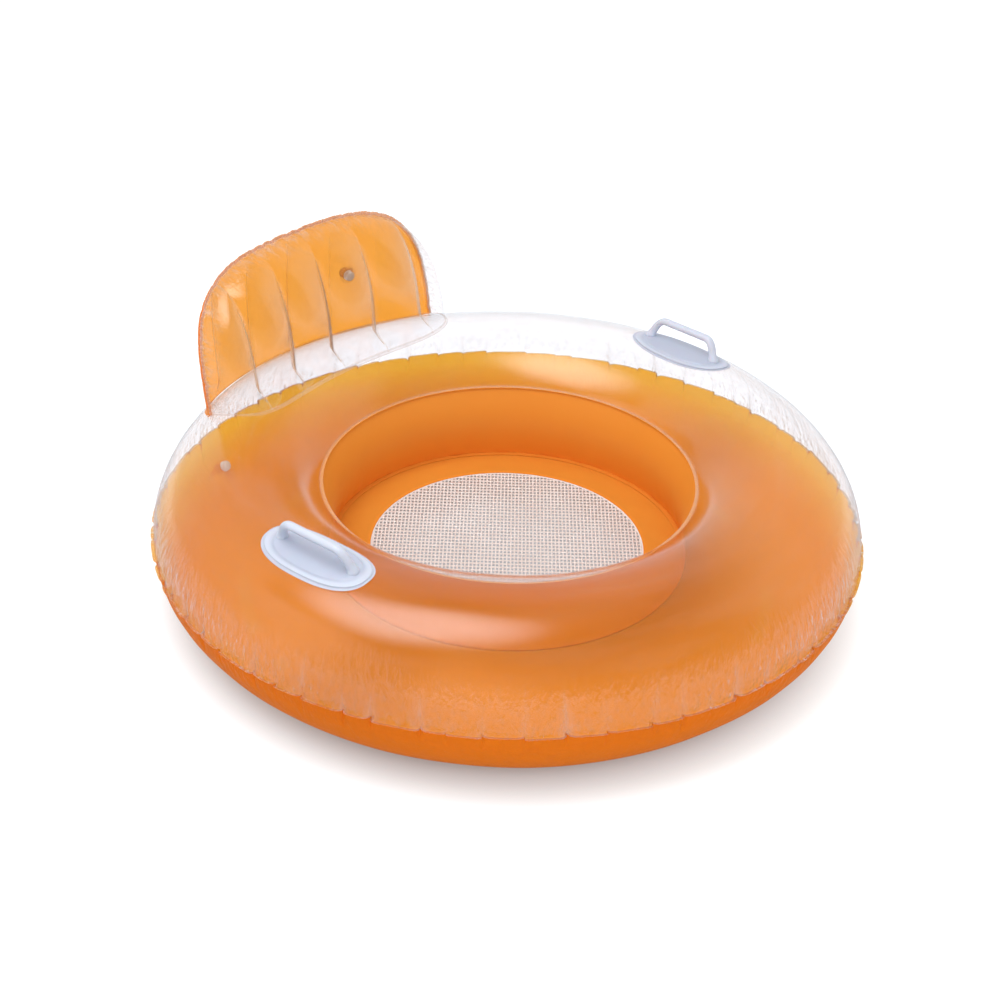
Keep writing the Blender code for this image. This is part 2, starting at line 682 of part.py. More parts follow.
def build_pillow_valve(back):
    """The backrest's valve stands square to its back sheet, between two ribs."""
    step = PINCH_WIDTH
    here = pillow_point(PILLOW_VALVE_SIDE, PILLOW_VALVE_RISE, 1)
    across = pillow_point(PILLOW_VALVE_SIDE + step, PILLOW_VALVE_RISE, 1)
    across -= pillow_point(PILLOW_VALVE_SIDE - step, PILLOW_VALVE_RISE, 1)
    up = pillow_point(PILLOW_VALVE_SIDE, PILLOW_VALVE_RISE + step, 1)
    up -= pillow_point(PILLOW_VALVE_SIDE, PILLOW_VALVE_RISE - step, 1)
    outward = up.cross(across).normalized()
    sideways = across.normalized()
    build_valve("backrest_valve", here, outward, sideways, back)


clear_scene()
parts = new_collection("pool_lounge_chair")
cutters = new_collection("cutters")
bottom_sheet = build_ring()
build_net()
back_sheet = build_backrest()
for handle_side in (1, -1):
    build_handle(handle_side)
build_ring_valve(bottom_sheet)
build_pillow_valve(back_sheet)
bpy.context.view_layer.update()
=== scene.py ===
# Dressed model of an inflatable pool lounger: a clear-topped orange ring with a net seat,
# a ribbed pillow backrest, two moulded grab handles and two push-in air valves.
# Metres, +Z up. The ring's centre is the origin and the backrest stands at +Y.

import math

import bmesh
import bpy
import numpy as np
from mathutils import Matrix, Vector


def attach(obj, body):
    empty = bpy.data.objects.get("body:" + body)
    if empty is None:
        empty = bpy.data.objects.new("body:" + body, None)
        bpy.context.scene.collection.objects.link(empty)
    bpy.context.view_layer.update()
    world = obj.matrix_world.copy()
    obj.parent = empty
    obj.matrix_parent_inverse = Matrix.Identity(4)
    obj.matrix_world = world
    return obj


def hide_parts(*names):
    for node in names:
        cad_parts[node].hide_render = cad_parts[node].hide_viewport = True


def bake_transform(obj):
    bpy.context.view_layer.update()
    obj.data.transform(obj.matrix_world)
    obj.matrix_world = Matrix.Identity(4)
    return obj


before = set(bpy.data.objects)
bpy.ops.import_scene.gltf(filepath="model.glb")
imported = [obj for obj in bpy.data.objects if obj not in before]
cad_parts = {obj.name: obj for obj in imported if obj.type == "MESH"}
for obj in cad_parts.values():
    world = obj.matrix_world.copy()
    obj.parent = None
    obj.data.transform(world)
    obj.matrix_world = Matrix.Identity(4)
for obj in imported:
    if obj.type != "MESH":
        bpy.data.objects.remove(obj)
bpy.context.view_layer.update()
print("frame loaded")


# Camera and lamps

studio = {
    "target": (0.0, 0.0, 0.1155),
    "azimuth": -50.5,                   # degrees round the object, 0 looks along +Y
    "elevation": 32.46,
    "distance": 2.665,
    "roll": 1.99,
    "lens": 62.8,
    "shift": (-0.0082, 0.0128),
    "fill": 0.68,                       # world light on the object; the world shows as plain white
    "darkSide": (-0.40, -0.82, 0.40),   # where the room has no white backdrop for gloss to show
    "darkFade": (0.72, 0.35),           # where the backdrop ends on that side, and how softly
    "ceilingFade": (0.94, 0.26),        # the same towards the ceiling
    "roomShow": 0.78,                   # white that gloss sees at the sides and the back
    "ceilingShow": 0.15,
    "horizonShow": (0.72, 0.44, 0.46),  # low bright strip on the dark side: strength, top, soft edge
    "floorColour": (0.46, 0.50, 0.55, 1.0),
    "floorShowAndShadow": (0.20, 0.74),          # white that the floor adds where it is looked at, less under the ring as a painted shadow: under, outside
    "floorShadowPlaces": (0.455, 0.550),      # where the one ends and the other starts
    "floorGlossShadow": (0.28, 1.00),         # what gloss sees of that white, near and far; darker near the ring as a painted shadow in reflections
    "glossShadowPlaces": (0.75, 1.60),
    "floorHalf": 9.0,
    "lamps": [                          # name, place, aim, width, height, watts
        ("softbox", (-0.85, 0.30, 2.6), (0.0, 0.0, 0.1), 1.7, 2.0, 34.0),
        ("frontPanel", (-1.5, -1.9, 1.7), (0.0, 0.0, 0.1), 1.6, 1.2, 11.5),
    ],
    "softboxGlow": 4.2,                 # gloss sees the softbox as a cloth with a soft edge
    "softboxHalf": (1.35, 1.5),
}
plainWhite = (1.0, 1.0, 1.0, 1.0)


def linked(name, data):
    holder = bpy.data.objects.new(name, data)
    bpy.context.scene.collection.objects.link(holder)
    return holder


def aimed(holder, place, aim):
    holder.location = place
    holder.rotation_mode = "QUATERNION"
    holder.rotation_quaternion = (Vector(aim) - Vector(place)).to_track_quat("-Z", "Y")


def placeCamera():
    azimuth, elevation = math.radians(studio["azimuth"]), math.radians(studio["elevation"])
    flat = math.cos(elevation)
    back = Vector((math.sin(azimuth) * flat, -math.cos(azimuth) * flat, math.sin(elevation)))
    camera = linked("camera", bpy.data.cameras.new("camera"))
    camera.data.lens = studio["lens"]
    camera.data.sensor_width = 36.0
    camera.data.shift_x, camera.data.shift_y = studio["shift"]
    camera.data.clip_end = 60.0
    camera.location = Vector(studio["target"]) + back * studio["distance"]
    turn = (-back).to_track_quat("-Z", "Y").to_matrix().to_4x4()
    camera.rotation_mode = "QUATERNION"
    camera.rotation_quaternion = (turn @ Matrix.Rotation(math.radians(studio["roll"]), 4, "Z")).to_quaternion()
    bpy.context.scene.camera = camera


def placeLamp(name, place, aim, width, height, watts):
    lamp = bpy.data.lights.new(name, "AREA")
    lamp.shape = "RECTANGLE"
    lamp.size, lamp.size_y, lamp.energy = width, height, watts
    holder = linked(name, lamp)
    aimed(holder, place, aim)
    holder.visible_glossy = False


placeCamera()
for lampValues in studio["lamps"]:
    placeLamp(*lampValues)
bpy.context.scene.view_settings.view_transform = "Standard"


# Node wiring: a Wire is one output socket, and sums on wires add Math nodes

def wireSum(operation, turned=False):
    def run(wire, other):
        return wire.maker.sum(operation, *((other, wire) if turned else (wire, other)))
    return run


class Wire:
    __add__ = __radd__ = wireSum("ADD")
    __mul__ = __rmul__ = wireSum("MULTIPLY")
    __sub__, __rsub__ = wireSum("SUBTRACT"), wireSum("SUBTRACT", True)
    __truediv__, __rtruediv__ = wireSum("DIVIDE"), wireSum("DIVIDE", True)
    __pow__ = wireSum("POWER")

    def __init__(self, maker, socket):
        self.maker = maker
        self.socket = socket

    def also(self, output):
        return Wire(self.maker, self.socket.node.outputs[output])


class Maker:
    def __init__(self, tree):
        self.tree = tree

    def add(self, kind, settings=None, values=None, output=0):
        node = self.tree.nodes.new(kind)
        for name, setting in (settings or {}).items():
            setattr(node, name, setting)
        for name, value in (values or {}).items():
            if isinstance(value, Wire):
                self.tree.links.new(value.socket, node.inputs[name])
            else:
                node.inputs[name].default_value = value
        return Wire(self, node.outputs[output]) if len(node.outputs) else node

    def sum(self, operation, first, second=0.0):
        return self.add("ShaderNodeMath", {"operation": operation}, {0: first, 1: second})

    def clamp(self, value):
        return self.add("ShaderNodeClamp", None, {"Value": value})

    def ramp(self, value, start, end):
        # 0 up to start and 1 from end on
        return self.clamp((value - start) / (end - start))

    def split(self, vector):
        parts = self.add("ShaderNodeSeparateXYZ", None, {0: vector})
        return parts, parts.also("Y"), parts.also("Z")

    def join(self, **parts):
        return self.add("ShaderNodeCombineXYZ", None, parts)

    def length(self, vector):
        return self.add("ShaderNodeVectorMath", {"operation": "LENGTH"}, {0: vector}, "Value")

    def mark(self, name):
        return self.add("ShaderNodeAttribute", {"attribute_name": name}, None, "Fac")

    def seenBy(self, ray):
        return self.add("ShaderNodeLightPath", None, None, ray)

    def noise(self, vector, scale, detail=2.0, roughness=0.5):
        values = {"Vector": vector, "Scale": scale, "Detail": detail, "Roughness": roughness}
        return self.add("ShaderNodeTexNoise", None, values)

    def bump(self, height, distance, strength, normal=None):
        values = {"Height": height, "Distance": distance, "Strength": strength}
        return self.add("ShaderNodeBump", None, dict(values, Normal=normal) if normal else values)

    def colours(self, share, first, second):
        return self.add("ShaderNodeMix", {"data_type": "RGBA"}, {0: share, 6: first, 7: second}, 2)

    def shaders(self, share, first, second):
        return self.add("ShaderNodeMixShader", None, {0: share, 1: first, 2: second})

    def vinyl(self, paint, roughness, normal, **more):
        values = {"Base Color": paint, "Roughness": roughness, "Normal": normal}
        return self.add("ShaderNodeBsdfPrincipled", None, dict(values, **more))

    def glow(self, colour, strength):
        return self.add("ShaderNodeEmission", None, {"Color": colour, "Strength": strength})

    def through(self, kind, colour):
        return self.add(kind, None, {"Color": colour})


def newFinish(name):
    material = bpy.data.materials.new(name)
    material.use_nodes = True
    material.node_tree.nodes.clear()
    make = Maker(material.node_tree)
    return material, make, make.add("ShaderNodeTexCoord", None, None, "Object")


def closeFinish(make, shader):
    make.add("ShaderNodeOutputMaterial", None, {"Surface": shader})


# Room, floor and the softbox as gloss sees it

def lookedAt(make):
    # 1 where the camera looks straight, in a mirror or through film
    path = make.seenBy("Is Camera Ray")
    return make.clamp(path + path.also("Is Glossy Ray") + path.also("Is Transmission Ray"))


def dressWorld():
    world = bpy.data.worlds.new("studioLight")
    world.use_nodes = True
    world.node_tree.nodes.clear()
    make = Maker(world.node_tree)
    look = make.add("ShaderNodeTexCoord", None, None, "Generated")
    high = make.split(look)[2]
    dark = make.add("ShaderNodeVectorMath", {"operation": "DOT_PRODUCT"}, {0: look, 1: studio["darkSide"]}, "Value")
    (darkEnd, darkSoft), (highEnd, highSoft) = studio["darkFade"], studio["ceilingFade"]
    room = studio["roomShow"] * make.clamp((darkEnd - dark) / darkSoft) * make.clamp((highEnd - high) / highSoft)
    strength, top, soft = studio["horizonShow"]
    horizon = strength * make.clamp((top - high) / soft)
    room = make.sum("MAXIMUM", make.sum("MAXIMUM", room, studio["ceilingShow"]), horizon)
    shown = 1.0 + make.seenBy("Is Glossy Ray") * (room - 1.0)
    light = studio["fill"] + (shown - studio["fill"]) * lookedAt(make)
    sky = make.add("ShaderNodeBackground", None, {"Color": plainWhite, "Strength": light})
    make.add("ShaderNodeOutputWorld", None, {"Surface": sky})
    bpy.context.scene.world = world


def stageSheet(name, half, material):
    mesh = bpy.data.meshes.new(name)
    mesh.from_pydata([(-half, -half, 0), (half, -half, 0), (half, half, 0), (-half, half, 0)], [], [(0, 1, 2, 3)])
    mesh.materials.append(material)
    return linked(name, mesh)


def dressFloor():
    material, make, spot = newFinish("paleFloor")
    pale = tuple(1.04 * part for part in studio["floorColour"])
    paper = make.colours(make.noise(spot, 3.0), studio["floorColour"], pale)
    far = make.length(spot)
    under, outside = studio["floorShowAndShadow"]
    # painted shadow: less white under the ring than outside it
    show = under + (outside - under) * make.ramp(far, *studio["floorShadowPlaces"])
    near, further = studio["floorGlossShadow"]
    # painted shadow in reflections: gloss sees the floor less white near the ring
    mirrored = near + (further - near) * make.ramp(far, *studio["glossShadowPlaces"])
    show = show * (1.0 + make.seenBy("Is Glossy Ray") * (mirrored - 1.0))
    matt, white = make.through("ShaderNodeBsdfDiffuse", paper), make.glow(plainWhite, show * lookedAt(make))
    closeFinish(make, make.add("ShaderNodeAddShader", None, {0: matt, 1: white}))
    floor = stageSheet("floor", studio["floorHalf"], material)


def dressSoftbox():
    material, make, spot = newFinish("softboxCloth")
    lit = make.clamp((1.0 - make.length(spot)) * 1.5)
    closeFinish(make, make.glow(plainWhite, studio["softboxGlow"] * lit * lit * (3.0 - 2.0 * lit)))
    cloth = stageSheet("softboxCloth", 1, material)
    aimed(cloth, *studio["lamps"][0][1:3])
    cloth.scale = studio["softboxHalf"] + (1.0,)
    cloth.visible_camera = cloth.visible_diffuse = cloth.visible_transmission = cloth.visible_shadow = False


dressWorld()
dressFloor()
dressSoftbox()


# Finishes. The pieces' meshes mark where a weld, a fold, a rib's line or fine creases are

clearValues = {
    "tint": (0.984, 0.985, 0.990, 1.0),     # light that passes one face of the film
    "milk": (0.96, 0.92, 0.91, 1.0),
    "haze": 0.003,             # share of milk all over, in clouds, on welds and so on
    "cloudHaze": 0.006,
    "weldHaze": 0.12,
    "foldHighlight": 0.24,
    "creaseSheen": 0.055,
    "drawnHaze": 0.040,        # in faint clouds drawn out along the tube
    "lineHaze": 0.0,
    "gloss": 0.036,            # shine face on, and what is added to it at a glancing look
    "graze": 0.65,
    "roughness": 0.05,         # near the outer seam
    "farRoughness": 0.14,      # what is added to it away from the seam
    "grain": 0.00012,
    "streak": 0.0100,          # height of the fine creases square to the seam
    "streaks": 60.0,           # how many of them side by side in a radian
    "alongSeam": "",           # attribute with the place along the seam, else the angle round Z counts
}
restClearValues = dict(
    clearValues, milk=(0.98, 0.88, 0.80, 1.0), haze=0.006, weldHaze=0.24, foldHighlight=0.26, creaseSheen=0.22,
    drawnHaze=0.0, lineHaze=0.16, graze=0.35, roughness=0.12, farRoughness=0.04, streak=0.0045, streaks=150.0, alongSeam="along",
)
ribValues = dict(
    clearValues, tint=(0.997, 0.998, 0.998, 1.0), milk=(1.0, 0.82, 0.60, 1.0), haze=0.0, cloudHaze=0.0, weldHaze=0.24,
    drawnHaze=0.0, gloss=0.004, graze=0.10, streak=0.0,
)
valveBaseValues = dict(
    clearValues, milk=(1.0, 0.95, 0.88, 1.0), haze=0.08, weldHaze=0.40, foldHighlight=0.0, drawnHaze=0.0, gloss=0.02,
    graze=0.10, streak=0.0,
)
valveValues = dict(valveBaseValues, milk=(1.0, 0.96, 0.90, 1.0), haze=0.50, weldHaze=0.0, gloss=0.03, graze=0.20)

orangeValues = {
    "deep": (0.95, 0.270, 0.022, 1.0),      # the side that faces the air
    "light": (0.97, 0.310, 0.027, 1.0),
    "inside": (0.99, 0.370, 0.018, 1.0),    # painted light: the side that faces the chamber gets its own lighter colour, set for the light that reaches it there
    "glow": (1.00, 0.560, 0.080, 1.0),      # colour of light that comes through the film
    "see": (1.0, 0.80, 0.22, 1.0),
    "weldAndFoldShading": (0.84, 0.230, 0.018, 1.0),
    "glowShare": 0.15,
    "seeShare": 0.16,
    "highGlowSee": 0.50,           # painted light: the film lets through more where it stands higher, so it glows brighter up there and looks darker low over the floor
    "highGlowPlaces": (0.02, 0.10),
    "weldBlock": 0.9,          # what a weld takes from the share that is seen through
    "gloss": 0.010,
    "graze": 0.14,
    "roughness": 0.34,
    "streak": 0.0050,
    "streaks": 60.0,
    "alongSeam": "",
}
wallValues = dict(
    orangeValues, deep=(0.90, 0.335, 0.045, 1.0), light=(0.92, 0.370, 0.053, 1.0), inside=(0.95, 0.385, 0.028, 1.0),
    seeShare=0.12, highGlowSee=0.0, streak=0.0,
)
restOrangeValues = dict(
    orangeValues, deep=(0.98, 0.40, 0.040, 1.0), light=(0.99, 0.46, 0.05, 1.0), inside=(1.0, 0.50, 0.030, 1.0),
    see=(1.0, 0.64, 0.22, 1.0), weldAndFoldShading=(0.99, 0.46, 0.10, 1.0), seeShare=0.84, highGlowSee=0.0, weldBlock=0.5,
    graze=0.3, streak=0.0,
)
mostFilm = 8.0                 # faces of film that light is let through; the next one shows its milk


def deepPile(make):
    return make.clamp(make.seenBy("Transparent Depth") - (mostFilm - 1.0))


def sheenOver(make, body, normal, values, roughness):
    # the smooth skin of soft vinyl: little shine face on, much of it at a glancing look
    facing = make.add("ShaderNodeLayerWeight", None, {"Blend": 0.5, "Normal": normal}, "Facing")
    shine = {"Color": plainWhite, "Roughness": roughness, "Normal": normal}
    shine = make.add("ShaderNodeBsdfAnisotropic", None, shine)
    return make.shaders(make.clamp(values["gloss"] + values["graze"] * facing ** 5.0), body, shine)


def roundZ(make, spot):
    # direction from the ring's axis, distance from it, and height
    x, y, z = make.split(spot)
    size = make.sum("SQRT", x * x + y * y)
    return x / size, y / size, size, z


def streaked(make, spot, values, normal):
    # fine creases square to the outer seam, as deep as the mark "crease" says, and a mask of their ridges that gets
    # painted sheen
    if values["alongSeam"]:
        fan = make.join(X=make.mark(values["alongSeam"]), Y=make.mark("away") * 0.3)
    else:
        x, y, _, z = roundZ(make, spot)
        fan = make.join(X=x, Y=y, Z=z * 1.1)
    creases = make.noise(fan, values["streaks"], 3.0, 0.6)
    crease = make.mark("crease")
    bumped = make.bump((creases - 0.5) * crease, values["streak"], 1.0, normal)
    return bumped, make.clamp((creases - 0.47) * 5.0) * crease


def clearFilm(name, values):
    material, make, spot = newFinish(name)
    normal = make.bump(make.noise(spot, 260.0), values["grain"], 0.35)
    haze = values["haze"] + values["cloudHaze"] * (make.noise(spot, 9.0, 3.0) - 0.5)
    # painted highlight: milk along the pleats and puckers stands in for the shine on their ridges
    haze = haze + values["weldHaze"] * make.mark("weld") + values["foldHighlight"] * make.mark("foldLightAndShade")
    if values["streak"]:
        normal, sheenStripes = streaked(make, spot, values, normal)
        # painted highlight: milk on the crease ridges stands in for their sheen
        haze = haze + values["creaseSheen"] * sheenStripes
    if values["lineHaze"]:
        haze = haze + values["lineHaze"] * make.mark("ribLine")
    if values["drawnHaze"]:
        x, y, size, z = roundZ(make, spot)
        along = make.join(X=x * 0.35, Y=y * 0.35, Z=(size * 2.0 - z) * 2.2)
        drawn = make.noise(along, 9.0, 5.0, 0.62)
        haze = haze + values["drawnHaze"] * make.clamp((drawn - 0.45) * 2.0)
    haze = haze + deepPile(make)
    see = make.through("ShaderNodeBsdfTransparent", values["tint"])
    milk = make.vinyl(values["milk"], 0.45, normal, **{"Specular IOR Level": 0.0})
    milk = make.shaders(0.5, milk, make.through("ShaderNodeBsdfTranslucent", values["milk"]))
    body = make.shaders(make.clamp(haze), see, milk)
    smooth = values["roughness"] + values["farRoughness"] * (1.0 - make.clamp(2.0 * make.mark("crease")))
    closeFinish(make, sheenOver(make, body, normal, values, smooth))
    return material


def orangeFilm(name, values):
    material, make, spot = newFinish(name)
    weld = make.mark("weld")
    normal = make.bump(make.noise(spot, 300.0), 0.0001, 0.3)
    if values["streak"]:
        normal = streaked(make, spot, values, normal)[0]
    plain = make.colours(make.noise(spot, 6.0, 3.0), values["deep"], values["light"])
    # painted light: the chamber side gets its own lighter colour
    plain = make.colours(make.mark("inside"), plain, values["inside"])
    # the weld colour marks the welds; along the pleats it darkens the ring's orange as painted shade, along the
    # puckers it lightens the backrest's as painted highlight
    colour = make.colours(make.clamp(weld + 0.7 * make.mark("foldLightAndShade")), plain, values["weldAndFoldShading"])
    solid = make.vinyl(colour, 0.5, normal, **{"Specular IOR Level": 0.0})
    glow = make.through("ShaderNodeBsdfTranslucent", values["glow"])
    see = make.through("ShaderNodeBsdfTransparent", values["see"])
    share = values["seeShare"]
    # painted light: more see-through higher up, for a brighter upper part
    if values["highGlowSee"]:
        share = share + values["highGlowSee"] * make.ramp(make.split(spot)[2], *values["highGlowPlaces"])
    share = make.clamp(share - values["weldBlock"] * weld - deepPile(make))
    body = make.shaders(share, make.shaders(values["glowShare"], solid, glow), see)
    closeFinish(make, sheenOver(make, body, normal, values, values["roughness"]))
    return material


def softVinyl(name, colour, edgeColour, roughness):
    # moulded vinyl, paler where the mark "edge" says that it is thin
    material, make, spot = newFinish(name)
    cloud = make.noise(spot, 30.0)
    normal = make.bump(make.noise(spot, 900.0), 0.0001, 0.25)
    shade = tuple(0.93 * part for part in colour[:3]) + (1.0,)
    paint = make.colours(make.mark("edge"), make.colours(cloud, shade, colour), edgeColour)
    matt = roughness + 0.12 * (cloud - 0.5)
    closeFinish(make, make.vinyl(paint, matt, normal, **{"Subsurface Weight": 0.15, "Subsurface Scale": 0.004}))
    return material


def netFabric(name, shade, light):
    material, make, spot = newFinish(name)
    normal = make.bump(make.noise(spot, 1800.0, 1.0), 0.0001, 0.5)
    closeFinish(make, make.vinyl(make.colours(make.noise(spot, 14.0), shade, light), 0.72, normal))
    return material


ringClear = clearFilm("ringClearFilm", clearValues)
restClear = clearFilm("backrestClearFilm", restClearValues)
ribClear = clearFilm("ribFilm", ribValues)
ringOrange = orangeFilm("ringOrangeFilm", orangeValues)
wallOrange = orangeFilm("wallOrangeFilm", wallValues)
restOrange = orangeFilm("backrestOrangeFilm", restOrangeValues)
handleBlue = softVinyl("handleVinyl", (0.525, 0.565, 0.69, 1.0), (0.65, 0.69, 0.80, 1.0), 0.40)
patchWhite = softVinyl("patchFilm", (0.56, 0.60, 0.72, 1.0), (0.60, 0.64, 0.76, 1.0), 0.35)
valveMilk = clearFilm("valveVinyl", valveValues)
valveClear = clearFilm("valveBaseVinyl", valveBaseValues)
netWhite = netFabric("netFabric", (0.84, 0.76, 0.72, 1.0), (0.93, 0.90, 0.89, 1.0))
print("finishes made")


# Mesh helpers

def newPiece(name, mesh, material, nodes, body="hull"):
    mesh.materials.clear()
    mesh.materials.append(material)
    piece = linked(name, mesh)
    if nodes:
        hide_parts(*nodes)
    if body:
        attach(piece, body)
    return piece


def meshFrom(name, points, faces, marks=None, sharpAt=50.0):
    mesh = bpy.data.meshes.new(name)
    mesh.from_pydata(points.tolist(), [], faces.tolist() if hasattr(faces, "tolist") else faces)
    for markName, amounts in (marks or {}).items():
        mark = mesh.attributes.new(markName, "FLOAT", "POINT")
        mark.data.foreach_set("value", np.asarray(amounts, np.float32).ravel())
    mesh.shade_smooth()
    mesh.set_sharp_from_angle(angle=math.radians(sharpAt))
    mesh.update()
    return mesh


def pointsOf(mesh):
    spots = np.empty(len(mesh.vertices) * 3)
    mesh.vertices.foreach_get("co", spots)
    return spots.reshape(-1, 3)


def facedOut(mesh):
    # turns every face of a closed mesh outwards
    made = bmesh.new()
    made.from_mesh(mesh)
    bmesh.ops.recalc_face_normals(made, faces=made.faces)
    made.to_mesh(mesh)
    made.free()
    return mesh


def unit(vectors):
    return vectors / np.linalg.norm(vectors, axis=-1, keepdims=True)


def gridNormals(points, wraps, outward):
    along = np.roll(points, -1, 1) - np.roll(points, 1, 1) if wraps else np.gradient(points, axis=1)
    normal = np.cross(along, np.gradient(points, axis=0)) * outward
    return normal / np.maximum(np.linalg.norm(normal, axis=2, keepdims=True), 1e-12)


def gridFaces(rows, columns, wraps, start=0):
    row, column = np.meshgrid(np.arange(rows - 1), np.arange(columns if wraps else columns - 1), indexing="ij")
    after = (column + 1) % columns
    here, above = start + row * columns, start + (row + 1) * columns
    return np.stack([here + column, here + after, above + after, above + column], -1).reshape(-1, 4)


def filmShell(name, points, wraps, outward, thickness, marks=None, inside=(0.0, 1.0)):
    # a grid of points on one side of a film, made a closed shell of that thickness.
    # the last argument marks, for the given points and for the shell's other side, which one faces the chamber and
    # takes the painted chamber-side colour of the orange films
    rows, columns = points.shape[:2]
    inner = points - gridNormals(points, wraps, outward) * thickness
    count = rows * columns
    faces = [gridFaces(rows, columns, wraps), gridFaces(rows, columns, wraps, count)[:, ::-1]]
    across = np.arange(columns if wraps else columns - 1)
    after = (across + 1) % columns
    last = (rows - 1) * columns
    faces.append(np.stack([after, across, across + count, after + count], -1))
    faces.append(np.stack([last + across, last + after, last + after + count, last + across + count], -1))
    if not wraps:
        down = np.arange(rows - 1) * columns
        end = down + columns - 1
        faces.append(np.stack([down, down + columns, down + columns + count, down + count], -1))
        faces.append(np.stack([end + columns, end, end + count, end + columns + count], -1))
    faces = np.concatenate(faces)
    if outward < 0:
        faces = faces[:, ::-1]
    both = {key: np.tile(np.ravel(value), 2) for key, value in (marks or {}).items()}
    both["inside"] = np.repeat(inside, count)
    return meshFrom(name, np.concatenate([points.reshape(-1, 3), inner.reshape(-1, 3)]), faces, both)


def cappedTube(name, points, sharpAt):
    # a row of rings, closed at both ends
    rows, columns = points.shape[:2]
    faces = [list(face) for face in gridFaces(rows, columns, True)]
    faces += [list(range(columns))[::-1], list(range((rows - 1) * columns, rows * columns))]
    return facedOut(meshFrom(name, points.reshape(-1, 3), faces, None, sharpAt))


def ease(low, high, value):
    share = np.clip((value - low) / (high - low), 0.0, 1.0)
    return share * share * (3 - 2 * share)


def bend(start, corner, end, shares):
    # points on a curve that leaves start and reaches end in the corner's direction
    return [(1 - share) ** 2 * start + 2 * share * (1 - share) * corner + share ** 2 * end for share in shares]


def between(span, share):
    return span[0] + (span[1] - span[0]) * share


def evaluated(holder, name):
    mesh = bpy.data.meshes.new_from_object(holder.evaluated_get(bpy.context.evaluated_depsgraph_get()))
    mesh.name = name
    return mesh


def combined(piece, operation, mesh):
    # the piece's mesh after a Boolean with a closed one
    other = linked("other", mesh)
    boolean = piece.modifiers.new("boolean", "BOOLEAN")
    boolean.operation, boolean.solver, boolean.object = operation, "EXACT", other
    finished = evaluated(piece, piece.name)
    piece.modifiers.clear()
    bpy.data.objects.remove(other)
    return finished


# Ring: three films with pleats at the outer seam

ring = {
    "crestRadius": 0.402,
    "outerHalf": 0.131,
    "innerHalf": 0.137,
    "crestRise": 0.131,
    "bellyDrop": 0.1155,
    "restHalf": 0.018,         # half of the flat that the ring stands on
    "inmost": 0.265,
    "rimSeam": 0.2836,
    "floorSeam": 0.275,
    "floorHeight": 0.0595,
    "seamFlange": 0.004,
    "floorFlange": 0.008,
    "film": 0.0005,
    "gap": 0.0003,
    "pleats": 66,
    "pleatSeed": 11,
    "pleatJitter": 0.24,
    "pleatDepth": (0.0022, 0.0085),
    "pleatAbove": (0.026, 0.072),
    "pleatBelow": (0.018, 0.046),
    "pleatWidth": 0.0036,
    "pleatStep": (0.0008, 0.0030),
    "stepWidth": 0.013,
    "pleatLean": 0.16,
    "farPaintedStrokes": 0.55,        # how much fainter the painted pleat highlight and shade are on the backrest's side
    "creaseReach": 0.105,
    "ripple": 0.0009,
    "wallColumns": 360,
    "pucker": ((0.0009, 23), (0.0007, 41), (0.0006, 67)),     # depth and count of the wall's puckers
    "puckerSeed": 5,
}
pleatShares = [
    0.0, 0.016, 0.038, 0.068, 0.108, 0.16, 0.235, 0.33, 0.44, 0.56, 0.67, 0.765, 0.84, 0.892, 0.932, 0.962, 0.984,
]
seamRows = [0, 0.0009, 0.0022, 0.004, 0.0064, 0.0095, 0.0135, 0.0185, 0.025, 0.033, 0.043, 0.055]
seamRadius = ring["crestRadius"] + ring["outerHalf"]
filmLift = ring["film"] + ring["gap"] / 2      # from the middle of a seam to the outside of its film


def tubePoint(angle):
    across, up = np.cos(angle), np.sin(angle)
    half = np.where(across > 0, ring["outerHalf"], ring["innerHalf"])
    rise = np.where(up > 0, ring["crestRise"], ring["bellyDrop"])
    return ring["crestRadius"] + half * across, ring["bellyDrop"] + rise * up


def angleAtRadius(radius):
    return math.acos((radius - ring["crestRadius"]) / ring["innerHalf"])


def ringTop(x, y):
    offset = np.hypot(x, y) - ring["crestRadius"]
    half = np.where(offset > 0, ring["outerHalf"], ring["innerHalf"])
    return ring["bellyDrop"] + ring["crestRise"] * np.sqrt(np.clip(1 - (offset / half) ** 2, 0.0, 1.0))


